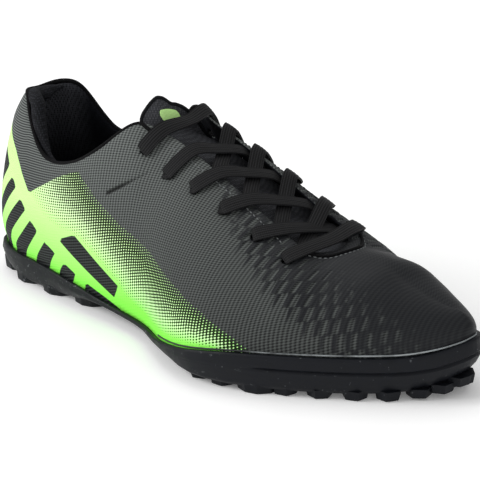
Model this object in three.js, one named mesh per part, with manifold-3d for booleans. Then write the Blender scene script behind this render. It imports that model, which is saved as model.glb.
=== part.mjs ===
// Turf shoe, right foot. Toe along +X, outer side along -Y, up along +Z, millimetres.
import * as THREE from "three";
import Module from "manifold-3d";

const solids = await Module();
solids.setup();

// Main sizes
const shoeLength = 287;
const ballWidth = 104;
const heelHeight = 94;

// Walls, gaps and edges
const lipThickness = 2.4;
const lipRound = 0.5;
const fitGap = 0.35;
const upperWall = 2.2;
const collarWall = 3.0;
const toeWall = 2.4;
const insoleThickness = 2.6;
const insoleCup = 1.6;
const tongueThickness = 2.6;
const tongueGap = 1.1;
const tongueFree = 114.5;
const rimReach = 3.2;

// Side groove of the sole
const grooveDepth = 1.1;
const grooveTop = 0.33;
const grooveMiddle = 0.39;
const grooveFoot = 0.45;
const grooveStart = 12.35;

// Lugs
const lugHeight = 3;
const lugRoot = 4.3;
const lugTip = 3.4;
const lugSides = 6;
const edgeLugRoot = 6.6;
const edgeLugTip = 5.8;
const lobeRoot = 11.2;
const lobeTip = 10.6;
const lobeSides = 11;
const lobeRise = 6.5;
const tongueTilt = 3.6;

// Laces and lace holes
const laceWidth = 7.4;
const laceThickness = 1.4;
const laceLift = 1.25;
const startIn = 3.9;
const startBack = -2.2;
const strandAhead = 0.4;
const startDown = 2.2;
const strandSag = 2.9;
const innerLift = 1.35;
const outerLift = 0.75;
const lastBack = 3.2;
const topRunBend = 3.6;
const topRunAhead = 0.32;
const bottomRunBend = 1.8;
const bottomRunAhead = 0.3;
const holeRadius = 2.4;
const holeSides = 8;

// Counts along and across
const rowTotal = 18;
const throatEnd = 13.35;

// Sole rows, heel to toe. x is a share of shoeLength, y and baseIn of ballWidth, z of heelHeight.
const outerSideSole = [
  { place: "heel_centre", lipX: 0.001, lipY: 0, lipZ: 0.1574, floorZ: 0.0957, baseZ: 0.0691, baseIn: 0.0385 },
  { place: "heel_corner", lipX: 0.016, lipY: 0.151, lipZ: 0.1574, floorZ: 0.0957, baseZ: 0.0553, baseIn: 0.0337 },
  { place: "heel_quarter", lipX: 0.0453, lipY: 0.2356, lipZ: 0.1564, floorZ: 0.0957, baseZ: 0.0362, baseIn: 0.024 },
  { place: "heel_side", lipX: 0.108, lipY: 0.3, lipZ: 0.1553, floorZ: 0.0936, baseZ: 0.0234, baseIn: 0.0115 },
  { place: "heel_front", lipX: 0.1777, lipY: 0.3221, lipZ: 0.1532, floorZ: 0.0915, baseZ: 0.0234, baseIn: 0.0115 },
  { place: "ankle", lipX: 0.2648, lipY: 0.3462, lipZ: 0.1319, floorZ: 0.0851, baseZ: 0.0255, baseIn: 0.0442 },
  { place: "waist_back", lipX: 0.3415, lipY: 0.3558, lipZ: 0.1043, floorZ: 0.0809, baseZ: 0.0404, baseIn: 0.0769 },
  { place: "collar_corner", lipX: 0.4077, lipY: 0.3702, lipZ: 0.0872, floorZ: 0.0723, baseZ: 0.0383, baseIn: 0.0817 },
  { place: "waist", lipX: 0.4669, lipY: 0.4038, lipZ: 0.0851, floorZ: 0.0702, baseZ: 0.0362, baseIn: 0.0769 },
  { place: "waist_front", lipX: 0.5226, lipY: 0.4827, lipZ: 0.1, floorZ: 0.0787, baseZ: 0.0362, baseIn: 0.0625 },
  { place: "ball_back", lipX: 0.5784, lipY: 0.551, lipZ: 0.134, floorZ: 0.0936, baseZ: 0.0404, baseIn: 0.0346 },
  { place: "ball", lipX: 0.6376, lipY: 0.5798, lipZ: 0.1702, floorZ: 0.1128, baseZ: 0.0362, baseIn: 0.0192 },
  { place: "ball_front", lipX: 0.7073, lipY: 0.5288, lipZ: 0.2, floorZ: 0.1255, baseZ: 0.0309, baseIn: 0.0135 },
  { place: "vamp", lipX: 0.7875, lipY: 0.4087, lipZ: 0.2106, floorZ: 0.1319, baseZ: 0.0309, baseIn: 0.0125 },
  { place: "vamp_front", lipX: 0.8641, lipY: 0.2567, lipZ: 0.2149, floorZ: 0.1362, baseZ: 0.0309, baseIn: 0.0125 },
  { place: "toe_side", lipX: 0.9268, lipY: 0.1115, lipZ: 0.2234, floorZ: 0.1426, baseZ: 0.0362, baseIn: 0.0288 },
  { place: "toe_corner", lipX: 0.9686, lipY: 0, lipZ: 0.2532, floorZ: 0.1638, baseZ: 0.0553, baseIn: 0.0538 },
  { place: "toe_front", lipX: 0.9923, lipY: -0.101, lipZ: 0.2872, floorZ: 0.1957, baseZ: 0.0851, baseIn: 0.0635 },
  { place: "toe_centre", lipX: 0.9983, lipY: -0.1683, lipZ: 0.3032, floorZ: 0.2106, baseZ: 0.1, baseIn: 0.0635 },
];

const innerSideSole = [
  { place: "heel_centre", lipX: 0.001, lipY: 0, lipZ: 0.1574, floorZ: 0.0957, baseZ: 0.0691, baseIn: 0.0385 },
  { place: "heel_corner", lipX: 0.016, lipY: 0.151, lipZ: 0.1574, floorZ: 0.0957, baseZ: 0.0553, baseIn: 0.0337 },
  { place: "heel_quarter", lipX: 0.0453, lipY: 0.2356, lipZ: 0.1564, floorZ: 0.0957, baseZ: 0.0362, baseIn: 0.024 },
  { place: "heel_side", lipX: 0.108, lipY: 0.2962, lipZ: 0.1574, floorZ: 0.0936, baseZ: 0.0234, baseIn: 0.0115 },
  { place: "heel_front", lipX: 0.1777, lipY: 0.3058, lipZ: 0.1553, floorZ: 0.0915, baseZ: 0.0234, baseIn: 0.0115 },
  { place: "ankle", lipX: 0.2648, lipY: 0.3019, lipZ: 0.1468, floorZ: 0.0851, baseZ: 0.0298, baseIn: 0.0385 },
  { place: "waist_back", lipX: 0.3415, lipY: 0.2981, lipZ: 0.1362, floorZ: 0.0809, baseZ: 0.0468, baseIn: 0.0577 },
  { place: "collar_corner", lipX: 0.4111, lipY: 0.3038, lipZ: 0.1298, floorZ: 0.0723, baseZ: 0.0468, baseIn: 0.0625 },
  { place: "waist", lipX: 0.4774, lipY: 0.3192, lipZ: 0.1319, floorZ: 0.0702, baseZ: 0.0489, baseIn: 0.0625 },
  { place: "waist_front", lipX: 0.5366, lipY: 0.351, lipZ: 0.1404, floorZ: 0.0787, baseZ: 0.0489, baseIn: 0.0529 },
  { place: "ball_back", lipX: 0.5923, lipY: 0.3846, lipZ: 0.1574, floorZ: 0.0936, baseZ: 0.0468, baseIn: 0.0404 },
  { place: "ball", lipX: 0.6516, lipY: 0.4183, lipZ: 0.1787, floorZ: 0.1128, baseZ: 0.0404, baseIn: 0.0288 },
  { place: "ball_front", lipX: 0.7178, lipY: 0.4423, lipZ: 0.1979, floorZ: 0.1255, baseZ: 0.034, baseIn: 0.0192 },
  { place: "vamp", lipX: 0.7944, lipY: 0.4462, lipZ: 0.2106, floorZ: 0.1319, baseZ: 0.0309, baseIn: 0.0125 },
  { place: "vamp_front", lipX: 0.8676, lipY: 0.4154, lipZ: 0.2213, floorZ: 0.1362, baseZ: 0.0309, baseIn: 0.0125 },
  { place: "toe_side", lipX: 0.9275, lipY: 0.3596, lipZ: 0.2404, floorZ: 0.1426, baseZ: 0.0362, baseIn: 0.0288 },
  { place: "toe_corner", lipX: 0.9672, lipY: 0.2981, lipZ: 0.2723, floorZ: 0.1638, baseZ: 0.0553, baseIn: 0.0538 },
  { place: "toe_front", lipX: 0.9902, lipY: 0.2346, lipZ: 0.2957, floorZ: 0.1957, baseZ: 0.0851, baseIn: 0.0635 },
  { place: "toe_centre", lipX: 0.9983, lipY: 0.1683, lipZ: 0.3032, floorZ: 0.2106, baseZ: 0.1, baseIn: 0.0635 },
];

// Upper rows: the top line or crest above each sole row, the sweep of the wall as a share of a
// quarter turn, and how far and how high the wall bellies out.
const outerSideUpper = [
  { place: "heel_centre", edgeX: 0.0418, edgeY: 0, edgeZ: 0.9894, sweep: 0.378, belly: 0.0404, bellyUp: 0.52 },
  { place: "heel_corner", edgeX: 0.0523, edgeY: 0.101, edgeZ: 1.0053, sweep: 0.378, belly: 0.0385, bellyUp: 0.52 },
  { place: "heel_quarter", edgeX: 0.0871, edgeY: 0.1663, edgeZ: 0.9851, sweep: 0.378, belly: 0.0327, bellyUp: 0.52 },
  { place: "heel_side", edgeX: 0.1272, edgeY: 0.2144, edgeZ: 0.8085, sweep: 0.4, belly: 0.0327, bellyUp: 0.52 },
  { place: "heel_front", edgeX: 0.1777, edgeY: 0.2596, edgeZ: 0.7255, sweep: 0.333, belly: 0.0308, bellyUp: 0.52 },
  { place: "ankle", edgeX: 0.2544, edgeY: 0.2788, edgeZ: 0.7702, sweep: 0.333, belly: 0.0308, bellyUp: 0.52 },
  { place: "waist_back", edgeX: 0.324, edgeY: 0.2721, edgeZ: 0.9043, sweep: 0.422, belly: 0.0327, bellyUp: 0.52 },
  { place: "collar_corner", edgeX: 0.3763, edgeY: 0.1731, edgeZ: 1.0426, sweep: 0.578, belly: 0.0308, bellyUp: 0.55 },
  { place: "waist", edgeX: 0.4321, edgeY: 0.0962, edgeZ: 0.9872, sweep: 0.689, belly: 0.025, bellyUp: 0.6 },
  { place: "waist_front", edgeX: 0.4948, edgeY: 0.0913, edgeZ: 0.9213, sweep: 0.689, belly: 0.0212, bellyUp: 0.62 },
  { place: "ball_back", edgeX: 0.5575, edgeY: 0.0913, edgeZ: 0.8468, sweep: 0.689, belly: 0.0154, bellyUp: 0.65 },
  { place: "ball", edgeX: 0.6202, edgeY: 0.0923, edgeZ: 0.7617, sweep: 0.689, belly: 0.0135, bellyUp: 0.7 },
  { place: "ball_front", edgeX: 0.6864, edgeY: 0.0962, edgeZ: 0.6723, sweep: 0.711, belly: 0.0135, bellyUp: 0.7 },
  { place: "vamp", edgeX: 0.7474, edgeY: 0.0673, edgeZ: 0.6128, sweep: 0.889, belly: 0.0154, bellyUp: 0.7 },
  { place: "vamp_front", edgeX: 0.8223, edgeY: -0.0769, edgeZ: 0.5957, sweep: 1, belly: 0.0173, bellyUp: 0.7 },
  { place: "toe_side", edgeX: 0.8711, edgeY: -0.0962, edgeZ: 0.5191, sweep: 1, belly: 0.0192, bellyUp: 0.7 },
  { place: "toe_corner", edgeX: 0.9129, edgeY: -0.1202, edgeZ: 0.4638, sweep: 1, belly: 0.0173, bellyUp: 0.7 },
  { place: "toe_front", edgeX: 0.9408, edgeY: -0.1442, edgeZ: 0.4319, sweep: 1, belly: 0.0135, bellyUp: 0.7 },
  { place: "toe_centre", edgeX: 0.9547, edgeY: -0.1567, edgeZ: 0.4234, sweep: 1, belly: 0.0115, bellyUp: 0.7 },
];

const innerSideUpper = [
  { place: "heel_centre", edgeX: 0.0418, edgeY: 0, edgeZ: 0.9894, sweep: 0.378, belly: 0.0404, bellyUp: 0.52 },
  { place: "heel_corner", edgeX: 0.0523, edgeY: 0.1077, edgeZ: 1.0106, sweep: 0.378, belly: 0.0385, bellyUp: 0.52 },
  { place: "heel_quarter", edgeX: 0.0906, edgeY: 0.1885, edgeZ: 0.9979, sweep: 0.378, belly: 0.0288, bellyUp: 0.52 },
  { place: "heel_side", edgeX: 0.1324, edgeY: 0.2538, edgeZ: 0.8404, sweep: 0.4, belly: 0.0308, bellyUp: 0.52 },
  { place: "heel_front", edgeX: 0.1777, edgeY: 0.275, edgeZ: 0.7468, sweep: 0.333, belly: 0.0346, bellyUp: 0.52 },
  { place: "ankle", edgeX: 0.2544, edgeY: 0.274, edgeZ: 0.7766, sweep: 0.333, belly: 0.0404, bellyUp: 0.52 },
  { place: "waist_back", edgeX: 0.324, edgeY: 0.2692, edgeZ: 0.9085, sweep: 0.422, belly: 0.0442, bellyUp: 0.52 },
  { place: "collar_corner", edgeX: 0.3763, edgeY: 0.2115, edgeZ: 1.0426, sweep: 0.667, belly: 0.0442, bellyUp: 0.55 },
  { place: "waist", edgeX: 0.4321, edgeY: 0.1538, edgeZ: 1.016, sweep: 0.778, belly: 0.0442, bellyUp: 0.6 },
  { place: "waist_front", edgeX: 0.4948, edgeY: 0.149, edgeZ: 0.9553, sweep: 0.822, belly: 0.0404, bellyUp: 0.62 },
  { place: "ball_back", edgeX: 0.5575, edgeY: 0.149, edgeZ: 0.883, sweep: 0.844, belly: 0.0346, bellyUp: 0.65 },
  { place: "ball", edgeX: 0.6202, edgeY: 0.15, edgeZ: 0.8, sweep: 0.844, belly: 0.0269, bellyUp: 0.7 },
  { place: "ball_front", edgeX: 0.6864, edgeY: 0.1538, edgeZ: 0.7064, sweep: 0.844, belly: 0.0212, bellyUp: 0.7 },
  { place: "vamp", edgeX: 0.7474, edgeY: 0.1298, edgeZ: 0.6191, sweep: 0.933, belly: 0.0173, bellyUp: 0.7 },
  { place: "vamp_front", edgeX: 0.8223, edgeY: 0.0769, edgeZ: 0.5957, sweep: 1, belly: 0.0173, bellyUp: 0.7 },
  { place: "toe_side", edgeX: 0.8711, edgeY: 0.0962, edgeZ: 0.5191, sweep: 1, belly: 0.0096, bellyUp: 0.7 },
  { place: "toe_corner", edgeX: 0.9129, edgeY: 0.1202, edgeZ: 0.4638, sweep: 1, belly: 0.0077, bellyUp: 0.7 },
  { place: "toe_front", edgeX: 0.9408, edgeY: 0.1442, edgeZ: 0.4319, sweep: 1, belly: 0.0077, bellyUp: 0.7 },
  { place: "toe_centre", edgeX: 0.9547, edgeY: 0.1567, edgeZ: 0.4234, sweep: 1, belly: 0.0115, bellyUp: 0.7 },
];

const throatTip = { x: 0.7582, y: 0.0327, z: 0.6085 };

// Lace holes from the top down.
const laceHoles = [
  { x: 0.407, outerY: 0.2067, innerY: 0.2452, near: 7.6 },
  { x: 0.4652, outerY: 0.2096, innerY: 0.25, near: 8.5 },
  { x: 0.5247, outerY: 0.2096, innerY: 0.25, near: 9.5 },
  { x: 0.5902, outerY: 0.2096, innerY: 0.25, near: 10.5 },
  { x: 0.6603, outerY: 0.2096, innerY: 0.2538, near: 11.6 },
  { x: 0.7268, outerY: 0.2096, innerY: 0.2558, near: 12.6 },
];
const topRunArch = 0.0234;
const bottomRunArch = 0.0032;
const crossUnder = 1.8;

// Tongue rows from the free top edge to under the vamp.
const tongueRows = [
  { x: 0.3902, y: 0.0067, z: 1.1053, outer: 0.1404, inner: 0.1183, drop: 0.0883, lift: 0.0532, back: 0.0244, near: 6.8 },
  { x: 0.4077, y: 0.0144, z: 0.9787, outer: 0.1952, inner: 0.1827, drop: 0.0957, lift: 0.0064, back: 0.0105, near: 7.4 },
  { x: 0.4355, y: 0.0212, z: 0.9447, outer: 0.2356, inner: 0.2308, drop: 0.0957, lift: 0.0021, back: 0.0017, near: 8.1 },
  { x: 0.4948, y: 0.025, z: 0.8766, outer: 0.2452, inner: 0.2404, drop: 0.0851, lift: 0, back: 0, near: 9 },
  { x: 0.5575, y: 0.0269, z: 0.8032, outer: 0.2404, inner: 0.2404, drop: 0.0851, lift: 0, back: 0, near: 10 },
  { x: 0.6202, y: 0.0288, z: 0.7223, outer: 0.2356, inner: 0.2356, drop: 0.0745, lift: 0, back: 0, near: 11 },
  { x: 0.6829, y: 0.0308, z: 0.6404, outer: 0.226, inner: 0.2308, drop: 0.0532, lift: 0, back: 0, near: 12 },
  { x: 0.7387, y: 0.0346, z: 0.5894, outer: 0.2115, inner: 0.2212, drop: 0.0426, lift: 0, back: 0, near: 12.9 },
  { x: 0.7944, y: 0.0538, z: 0.6383, outer: 0.1923, inner: 0.2115, drop: 0, lift: 0, back: 0, near: 13.6 },
];

// Lug rows on the underside: place along the shoe, how many across, share in from each edge.
const lugRows = [
  { place: 2.7, across: 1, from: 0.5 },
  { place: 3.6, across: 1, from: 0.5 },
  { place: 4.3, across: 1, from: 0.5 },
  { place: 5, across: 1, from: 0.5 },
  { place: 10.9, across: 3, from: 0.085 },
  { place: 11.6, across: 4, from: 0.08 },
  { place: 12.25, across: 4, from: 0.075 },
  { place: 12.85, across: 4, from: 0.075 },
  { place: 13.45, across: 4, from: 0.075 },
  { place: 14.05, across: 4, from: 0.08 },
  { place: 14.7, across: 4, from: 0.085 },
  { place: 15.4, across: 3, from: 0.12 },
  { place: 16.2, across: 3, from: 0.13 },
  { place: 17.1, across: 2, from: 0.22 },
];

// Round lobes of the side wall.
const wallLobes = [
  { place: 1.75, inset: 0.5, proud: 0.0096 },
  { place: 3.1, inset: 1, proud: 0.0115 },
  { place: 4.2, inset: 1, proud: 0.0115 },
  { place: 5.1, inset: 1, proud: 0.0096 },
  { place: 12.5, inset: 1, proud: 0.0067 },
];

// Places of the rows round the rim: outer side 0 to 18, then back along the inner side.
function atSide(row, side) {
  return {
    lipX: row.lipX * shoeLength,
    lipY: row.lipY * ballWidth * side,
    lipZ: row.lipZ * heelHeight,
    floorZ: row.floorZ * heelHeight,
    baseZ: row.baseZ * heelHeight,
    baseIn: row.baseIn * ballWidth,
  };
}

function wallAtSide(row, side) {
  return {
    edgeX: row.edgeX * shoeLength,
    edgeY: row.edgeY * ballWidth * side,
    edgeZ: row.edgeZ * heelHeight,
    sweep: (row.sweep * Math.PI) / 2,
    belly: row.belly * ballWidth,
    bellyUp: row.bellyUp,
  };
}

function roundTrip(outer, inner, place) {
  const list = outer.map((row) => place(row, -1));
  for (let i = inner.length - 2; i > 0; i -= 1) {
    list.push(place(inner[i], 1));
  }
  return list;
}

const soleRing = roundTrip(outerSideSole, innerSideSole, atSide);
const wallRing = roundTrip(outerSideUpper, innerSideUpper, wallAtSide);

// A smooth value between knots; the ends carry on round when a period is given.
function smooth(knots, values, at, period) {
  const last = knots.length - 1;
  let x = at;
  if (period) {
    x = ((at % period) + period) % period;
  } else {
    x = Math.min(Math.max(at, knots[0]), knots[last]);
  }
  let i = 0;
  while (i < last && knots[i + 1] <= x) {
    i += 1;
  }
  const get = (k) => {
    if (!period) {
      const c = Math.min(Math.max(k, 0), last);
      return [knots[c], values[c]];
    }
    const n = knots.length;
    const turn = Math.floor(k / n);
    const c = k - turn * n;
    return [knots[c] + turn * period, values[c]];
  };
  if (!period && i === last) {
    return values[last];
  }
  const [xa, ya] = get(i - 1);
  const [xb, yb] = get(i);
  const [xc, yc] = get(i + 1);
  const [xd, yd] = get(i + 2);
  const step = xc - xb;
  const before = xb > xa ? (yb - ya) / (xb - xa) : (yc - yb) / step;
  const after = xd > xc ? (yd - yc) / (xd - xc) : (yc - yb) / step;
  const middle = (yc - yb) / step;
  const wb = xb > xa ? (before * step + middle * (xb - xa)) / (step + xb - xa) : middle;
  const wc = xd > xc ? (after * step + middle * (xd - xc)) / (step + xd - xc) : middle;
  const t = (x - xb) / step;
  const t2 = t * t;
  const t3 = t2 * t;
  return (
    (2 * t3 - 3 * t2 + 1) * yb +
    (t3 - 2 * t2 + t) * step * wb +
    (3 * t2 - 2 * t3) * yc +
    (t3 - t2) * step * wc
  );
}

const ringKnots = soleRing.map((row, i) => i);
const ringPeriod = soleRing.length;

function soleAt(u) {
  const out = {};
  for (const key of Object.keys(soleRing[0])) {
    out[key] = smooth(ringKnots, soleRing.map((row) => row[key]), u, ringPeriod);
  }
  return out;
}

// Direction straight out of the rim in plan.
function outwardAt(u) {
  const small = 0.02;
  const a = soleAt(u - small);
  const b = soleAt(u + small);
  const dx = b.lipX - a.lipX;
  const dy = b.lipY - a.lipY;
  const size = Math.hypot(dx, dy);
  return { x: dy / size, y: -dx / size };
}

// The opening: heel, collar, corner, lace flap and the round end of the throat, both sides.
const openRows = wallRing.filter((row, i) => i < throatEnd || i > ringPeriod - throatEnd);
const openKnots = [];
const openValues = { x: [], y: [], z: [] };
const openPeriod = 2 * throatEnd;
openRows.forEach((row, i) => {
  const outerCount = Math.floor(throatEnd) + 1;
  if (i === outerCount) {
    openKnots.push(throatEnd);
    openValues.x.push(throatTip.x * shoeLength);
    openValues.y.push(throatTip.y * ballWidth);
    openValues.z.push(throatTip.z * heelHeight);
  }
  const inner = i >= outerCount;
  openKnots.push(inner ? openPeriod - (openRows.length - i) : i);
  openValues.x.push(row.edgeX);
  openValues.y.push(row.edgeY);
  openValues.z.push(row.edgeZ);
});

function openingAt(rowPlace, side) {
  const v = side < 0 ? rowPlace : openPeriod - rowPlace;
  return new THREE.Vector3(
    smooth(openKnots, openValues.x, v, openPeriod),
    smooth(openKnots, openValues.y, v, openPeriod),
    smooth(openKnots, openValues.z, v, openPeriod),
  );
}

// The crest of the vamp, from the end of the throat to the top of the toe.
const crestRows = outerSideUpper.slice(Math.ceil(throatEnd));
const crestKnots = [throatEnd];
const crestValues = {
  x: [throatTip.x * shoeLength],
  y: [throatTip.y * ballWidth],
  z: [throatTip.z * heelHeight],
};
crestRows.forEach((row, i) => {
  crestKnots.push(Math.ceil(throatEnd) + i);
  crestValues.x.push(row.edgeX * shoeLength);
  crestValues.y.push(-row.edgeY * ballWidth);
  crestValues.z.push(row.edgeZ * heelHeight);
});

function topAt(rowPlace, side) {
  if (rowPlace < throatEnd) {
    return openingAt(rowPlace, side);
  }
  return new THREE.Vector3(
    smooth(crestKnots, crestValues.x, rowPlace),
    smooth(crestKnots, crestValues.y, rowPlace),
    smooth(crestKnots, crestValues.z, rowPlace),
  );
}

function ringPlace(rowPlace, side) {
  return side < 0 ? rowPlace : ringPeriod - rowPlace;
}

// Outer face of the upper: rowPlace from heel to toe, rise from the sole to the top line or crest.
function upperPoint(rowPlace, side, rise) {
  const u = ringPlace(rowPlace, side);
  const sole = soleAt(u);
  const out = outwardAt(u);
  const inset = lipThickness + fitGap;
  const foot = new THREE.Vector3(sole.lipX - out.x * inset, sole.lipY - out.y * inset, sole.lipZ + fitGap);
  if (rise <= 0) {
    const low = sole.floorZ + fitGap;
    return new THREE.Vector3(foot.x, foot.y, foot.z + (foot.z - low) * rise);
  }
  const top = topAt(rowPlace, side);
  const sweep = smooth(ringKnots, wallRing.map((row) => row.sweep), u, ringPeriod);
  const belly = smooth(ringKnots, wallRing.map((row) => row.belly), u, ringPeriod);
  const bellyUp = smooth(ringKnots, wallRing.map((row) => row.bellyUp), u, ringPeriod);
  const angle = rise * sweep;
  const along = (1 - Math.cos(angle)) / (1 - Math.cos(sweep));
  const up = Math.sin(angle) / Math.sin(sweep);
  const push = belly * Math.sin(Math.PI * Math.pow(rise, bellyUp));
  return new THREE.Vector3(
    foot.x + (top.x - foot.x) * along + out.x * push,
    foot.y + (top.y - foot.y) * along + out.y * push,
    foot.z + (top.z - foot.z) * up,
  );
}

function upperNormal(rowPlace, side, rise) {
  const small = 0.01;
  const lo = Math.max(rise - small, 0.001);
  const hi = Math.min(rise + small, 1);
  const a = upperPoint(rowPlace - small, side, rise);
  const b = upperPoint(rowPlace + small, side, rise);
  const c = upperPoint(rowPlace, side, lo);
  const d = upperPoint(rowPlace, side, hi);
  const n = b.sub(a).cross(d.sub(c)).normalize();
  return side < 0 ? n : n.negate();
}

// Mesh building
function newMesh() {
  return { points: [], faces: [] };
}

function addPoint(mesh, p) {
  mesh.points.push([p.x, p.y, p.z]);
  return mesh.points.length - 1;
}

function addFace(mesh, a, b, c) {
  if (a !== b && b !== c && a !== c) {
    mesh.faces.push([a, b, c]);
  }
}

function addQuad(mesh, a, b, c, d) {
  addFace(mesh, a, b, c);
  addFace(mesh, a, c, d);
}

function volumeOf(mesh) {
  let sum = 0;
  for (const [a, b, c] of mesh.faces) {
    const p = mesh.points[a];
    const q = mesh.points[b];
    const r = mesh.points[c];
    sum += p[0] * (q[1] * r[2] - q[2] * r[1]);
    sum -= p[1] * (q[0] * r[2] - q[2] * r[0]);
    sum += p[2] * (q[0] * r[1] - q[1] * r[0]);
  }
  return sum / 6;
}

function toSolid(mesh) {
  if (volumeOf(mesh) < 0) {
    mesh.faces = mesh.faces.map(([a, b, c]) => [a, c, b]);
  }
  return new solids.Manifold(
    new solids.Mesh({
      numProp: 3,
      vertProperties: new Float32Array(mesh.points.flat()),
      triVerts: new Uint32Array(mesh.faces.flat()),
    }),
  );
}

function toNode(solid, name, material) {
  const data = solid.getMesh();
  const geometry = new THREE.BufferGeometry();
  const positions = new Float32Array(data.numVert * 3);
  for (let i = 0; i < data.numVert; i += 1) {
    positions[3 * i] = data.vertProperties[data.numProp * i];
    positions[3 * i + 1] = data.vertProperties[data.numProp * i + 1];
    positions[3 * i + 2] = data.vertProperties[data.numProp * i + 2];
  }
  geometry.setAttribute("position", new THREE.BufferAttribute(positions, 3));
  geometry.setIndex(Array.from(data.triVerts));
  geometry.computeVertexNormals();
  const node = new THREE.Mesh(geometry, material);
  node.name = name;
  return node;
}

// Column places round the rim, closer together at the corner and round the throat end.
const columnRuns = [
  { from: 0, to: 6.4, count: 14 },
  { from: 6.4, to: 7.6, count: 5 },
  { from: 7.6, to: 12.4, count: 10 },
  { from: 12.4, to: throatEnd, count: 6 },
  { from: throatEnd, to: rowTotal, count: 12 },
];
const columns = [0];
for (const run of columnRuns) {
  for (let k = 1; k <= run.count; k += 1) {
    columns.push(run.from + ((run.to - run.from) * k) / run.count);
  }
}
const lastColumn = columns.length - 1;
const tipColumn = columns.findIndex((c) => Math.abs(c - throatEnd) < 1e-9);

// One cup sole: floor, inner wall, lip, side wall with its groove, and the underside.
function ringColumns() {
  const list = columns.map((c) => ({ u: c, place: c, side: -1 }));
  for (let i = lastColumn - 1; i > 0; i -= 1) {
    list.push({ u: ringPeriod - columns[i], place: columns[i], side: 1 });
  }
  return list;
}

const ringList = ringColumns();
const ringCount = ringList.length;

function soleProfile(u, place) {
  const s = soleAt(u);
  const out = outwardAt(u);
  const wall = s.lipZ - s.baseZ;
  const fade = Math.min(Math.max((place - grooveStart) / 0.25, 0), 1);
  const lean = (share) => s.baseIn * Math.pow(Math.max(share - 0.3, 0) / 0.7, 1.6);
  const swell = (share) => -0.7 * Math.sin(Math.PI * Math.min(share / 0.9, 1)) * Math.min(wall / 16, 1);
  const list = [
    { into: lipThickness, z: s.floorZ },
    { into: lipThickness, z: s.lipZ - lipRound },
    { into: lipThickness - lipRound, z: s.lipZ },
    { into: lipRound, z: s.lipZ },
    { into: 0, z: s.lipZ - lipRound * 1.4 },
    { into: swell(grooveTop) + lean(grooveTop), z: s.lipZ - wall * grooveTop },
    { into: swell(grooveMiddle) + lean(grooveMiddle) + grooveDepth * fade, z: s.lipZ - wall * grooveMiddle },
    { into: swell(grooveFoot) + lean(grooveFoot), z: s.lipZ - wall * grooveFoot },
    { into: swell(0.68) + lean(0.68), z: s.lipZ - wall * 0.68 },
    { into: s.baseIn * 0.86, z: s.lipZ - wall * 0.9 },
    { into: s.baseIn + 1.1, z: s.baseZ },
  ];
  return list.map((p) => new THREE.Vector3(s.lipX - out.x * p.into, s.lipY - out.y * p.into, p.z));
}

function mirrorIndex(i) {
  return i === 0 ? 0 : ringCount - i;
}

function buildSole() {
  const mesh = newMesh();
  const ids = ringList.map((c) => soleProfile(c.u, c.place).map((p) => addPoint(mesh, p)));
  const steps = ids[0].length;
  for (let i = 0; i < ringCount; i += 1) {
    const n = (i + 1) % ringCount;
    for (let k = 0; k < steps - 1; k += 1) {
      addQuad(mesh, ids[i][k], ids[n][k], ids[n][k + 1], ids[i][k + 1]);
    }
  }
  for (let i = 0; i < lastColumn; i += 1) {
    const a = ids[i];
    const b = ids[i + 1];
    const c = ids[mirrorIndex(i + 1)];
    const d = ids[mirrorIndex(i)];
    addQuad(mesh, d[0], c[0], b[0], a[0]);
    addQuad(mesh, a[steps - 1], b[steps - 1], c[steps - 1], d[steps - 1]);
  }
  return toSolid(mesh);
}

// A tapered stud from a point on the underside down to its tip.
function stud(x, y, rootZ, tipZ, root, tip, sides, turn) {
  const mesh = newMesh();
  const top = [];
  const low = [];
  for (let i = 0; i < sides; i += 1) {
    const a = turn + (2 * Math.PI * i) / sides;
    top.push(addPoint(mesh, { x: x + root * Math.cos(a), y: y + root * Math.sin(a), z: rootZ }));
    low.push(addPoint(mesh, { x: x + tip * Math.cos(a), y: y + tip * Math.sin(a), z: tipZ }));
  }
  for (let i = 0; i < sides; i += 1) {
    const n = (i + 1) % sides;
    addQuad(mesh, top[i], low[i], low[n], top[n]);
  }
  for (let i = 1; i < sides - 1; i += 1) {
    addFace(mesh, top[0], top[i], top[i + 1]);
    addFace(mesh, low[0], low[i + 1], low[i]);
  }
  return toSolid(mesh);
}

function underside(place, share) {
  const a = soleProfile(place, place).pop();
  const b = soleProfile(ringPeriod - place, place).pop();
  return a.lerp(b, share);
}

function addLugs(sole) {
  let whole = sole;
  for (const row of lugRows) {
    const count = row.across;
    for (let k = 0; k < count; k += 1) {
      const share = count === 1 ? 0.5 : row.from + ((1 - 2 * row.from) * k) / (count - 1);
      const p = underside(row.place, share);
      const edge = k === 0 || k === count - 1;
      const root = edge ? edgeLugRoot : lugRoot;
      const tip = edge ? edgeLugTip : lugTip;
      const tipZ = p.z < lugHeight + 0.7 ? 0 : p.z - lugHeight;
      whole = whole.add(stud(p.x, p.y, p.z + 1.6, tipZ, root, tip, lugSides, row.place + k));
    }
  }
  for (const lobe of wallLobes) {
    for (const side of [-1, 1]) {
      const u = ringPlace(lobe.place, side);
      const s = soleAt(u);
      const out = outwardAt(u);
      const into = lobeRoot + s.baseIn * lobe.inset - lobe.proud * ballWidth;
      const x = s.lipX - out.x * into;
      const y = s.lipY - out.y * into;
      whole = whole.add(stud(x, y, lobeRise, 0, lobeRoot, lobeTip, lobeSides, 0.2));
    }
  }
  return whole;
}

// The hollow upper: an outer skin, an inner skin the wall inside it, and the rims between.
const riseSteps = [-1, 0, 0.07, 0.18, 0.31, 0.45, 0.59, 0.73, 0.88, 1];
const topStep = riseSteps.length - 1;

function wallThickness(place, rise) {
  const collar = Math.min(Math.max((8 - place) / 2, 0), 1) * Math.min(Math.max((rise - 0.3) / 0.4, 0), 1);
  const toe = Math.min(Math.max((place - 15) / 2, 0), 1);
  return upperWall + (collarWall - upperWall) * collar + (toeWall - upperWall) * toe;
}

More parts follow.
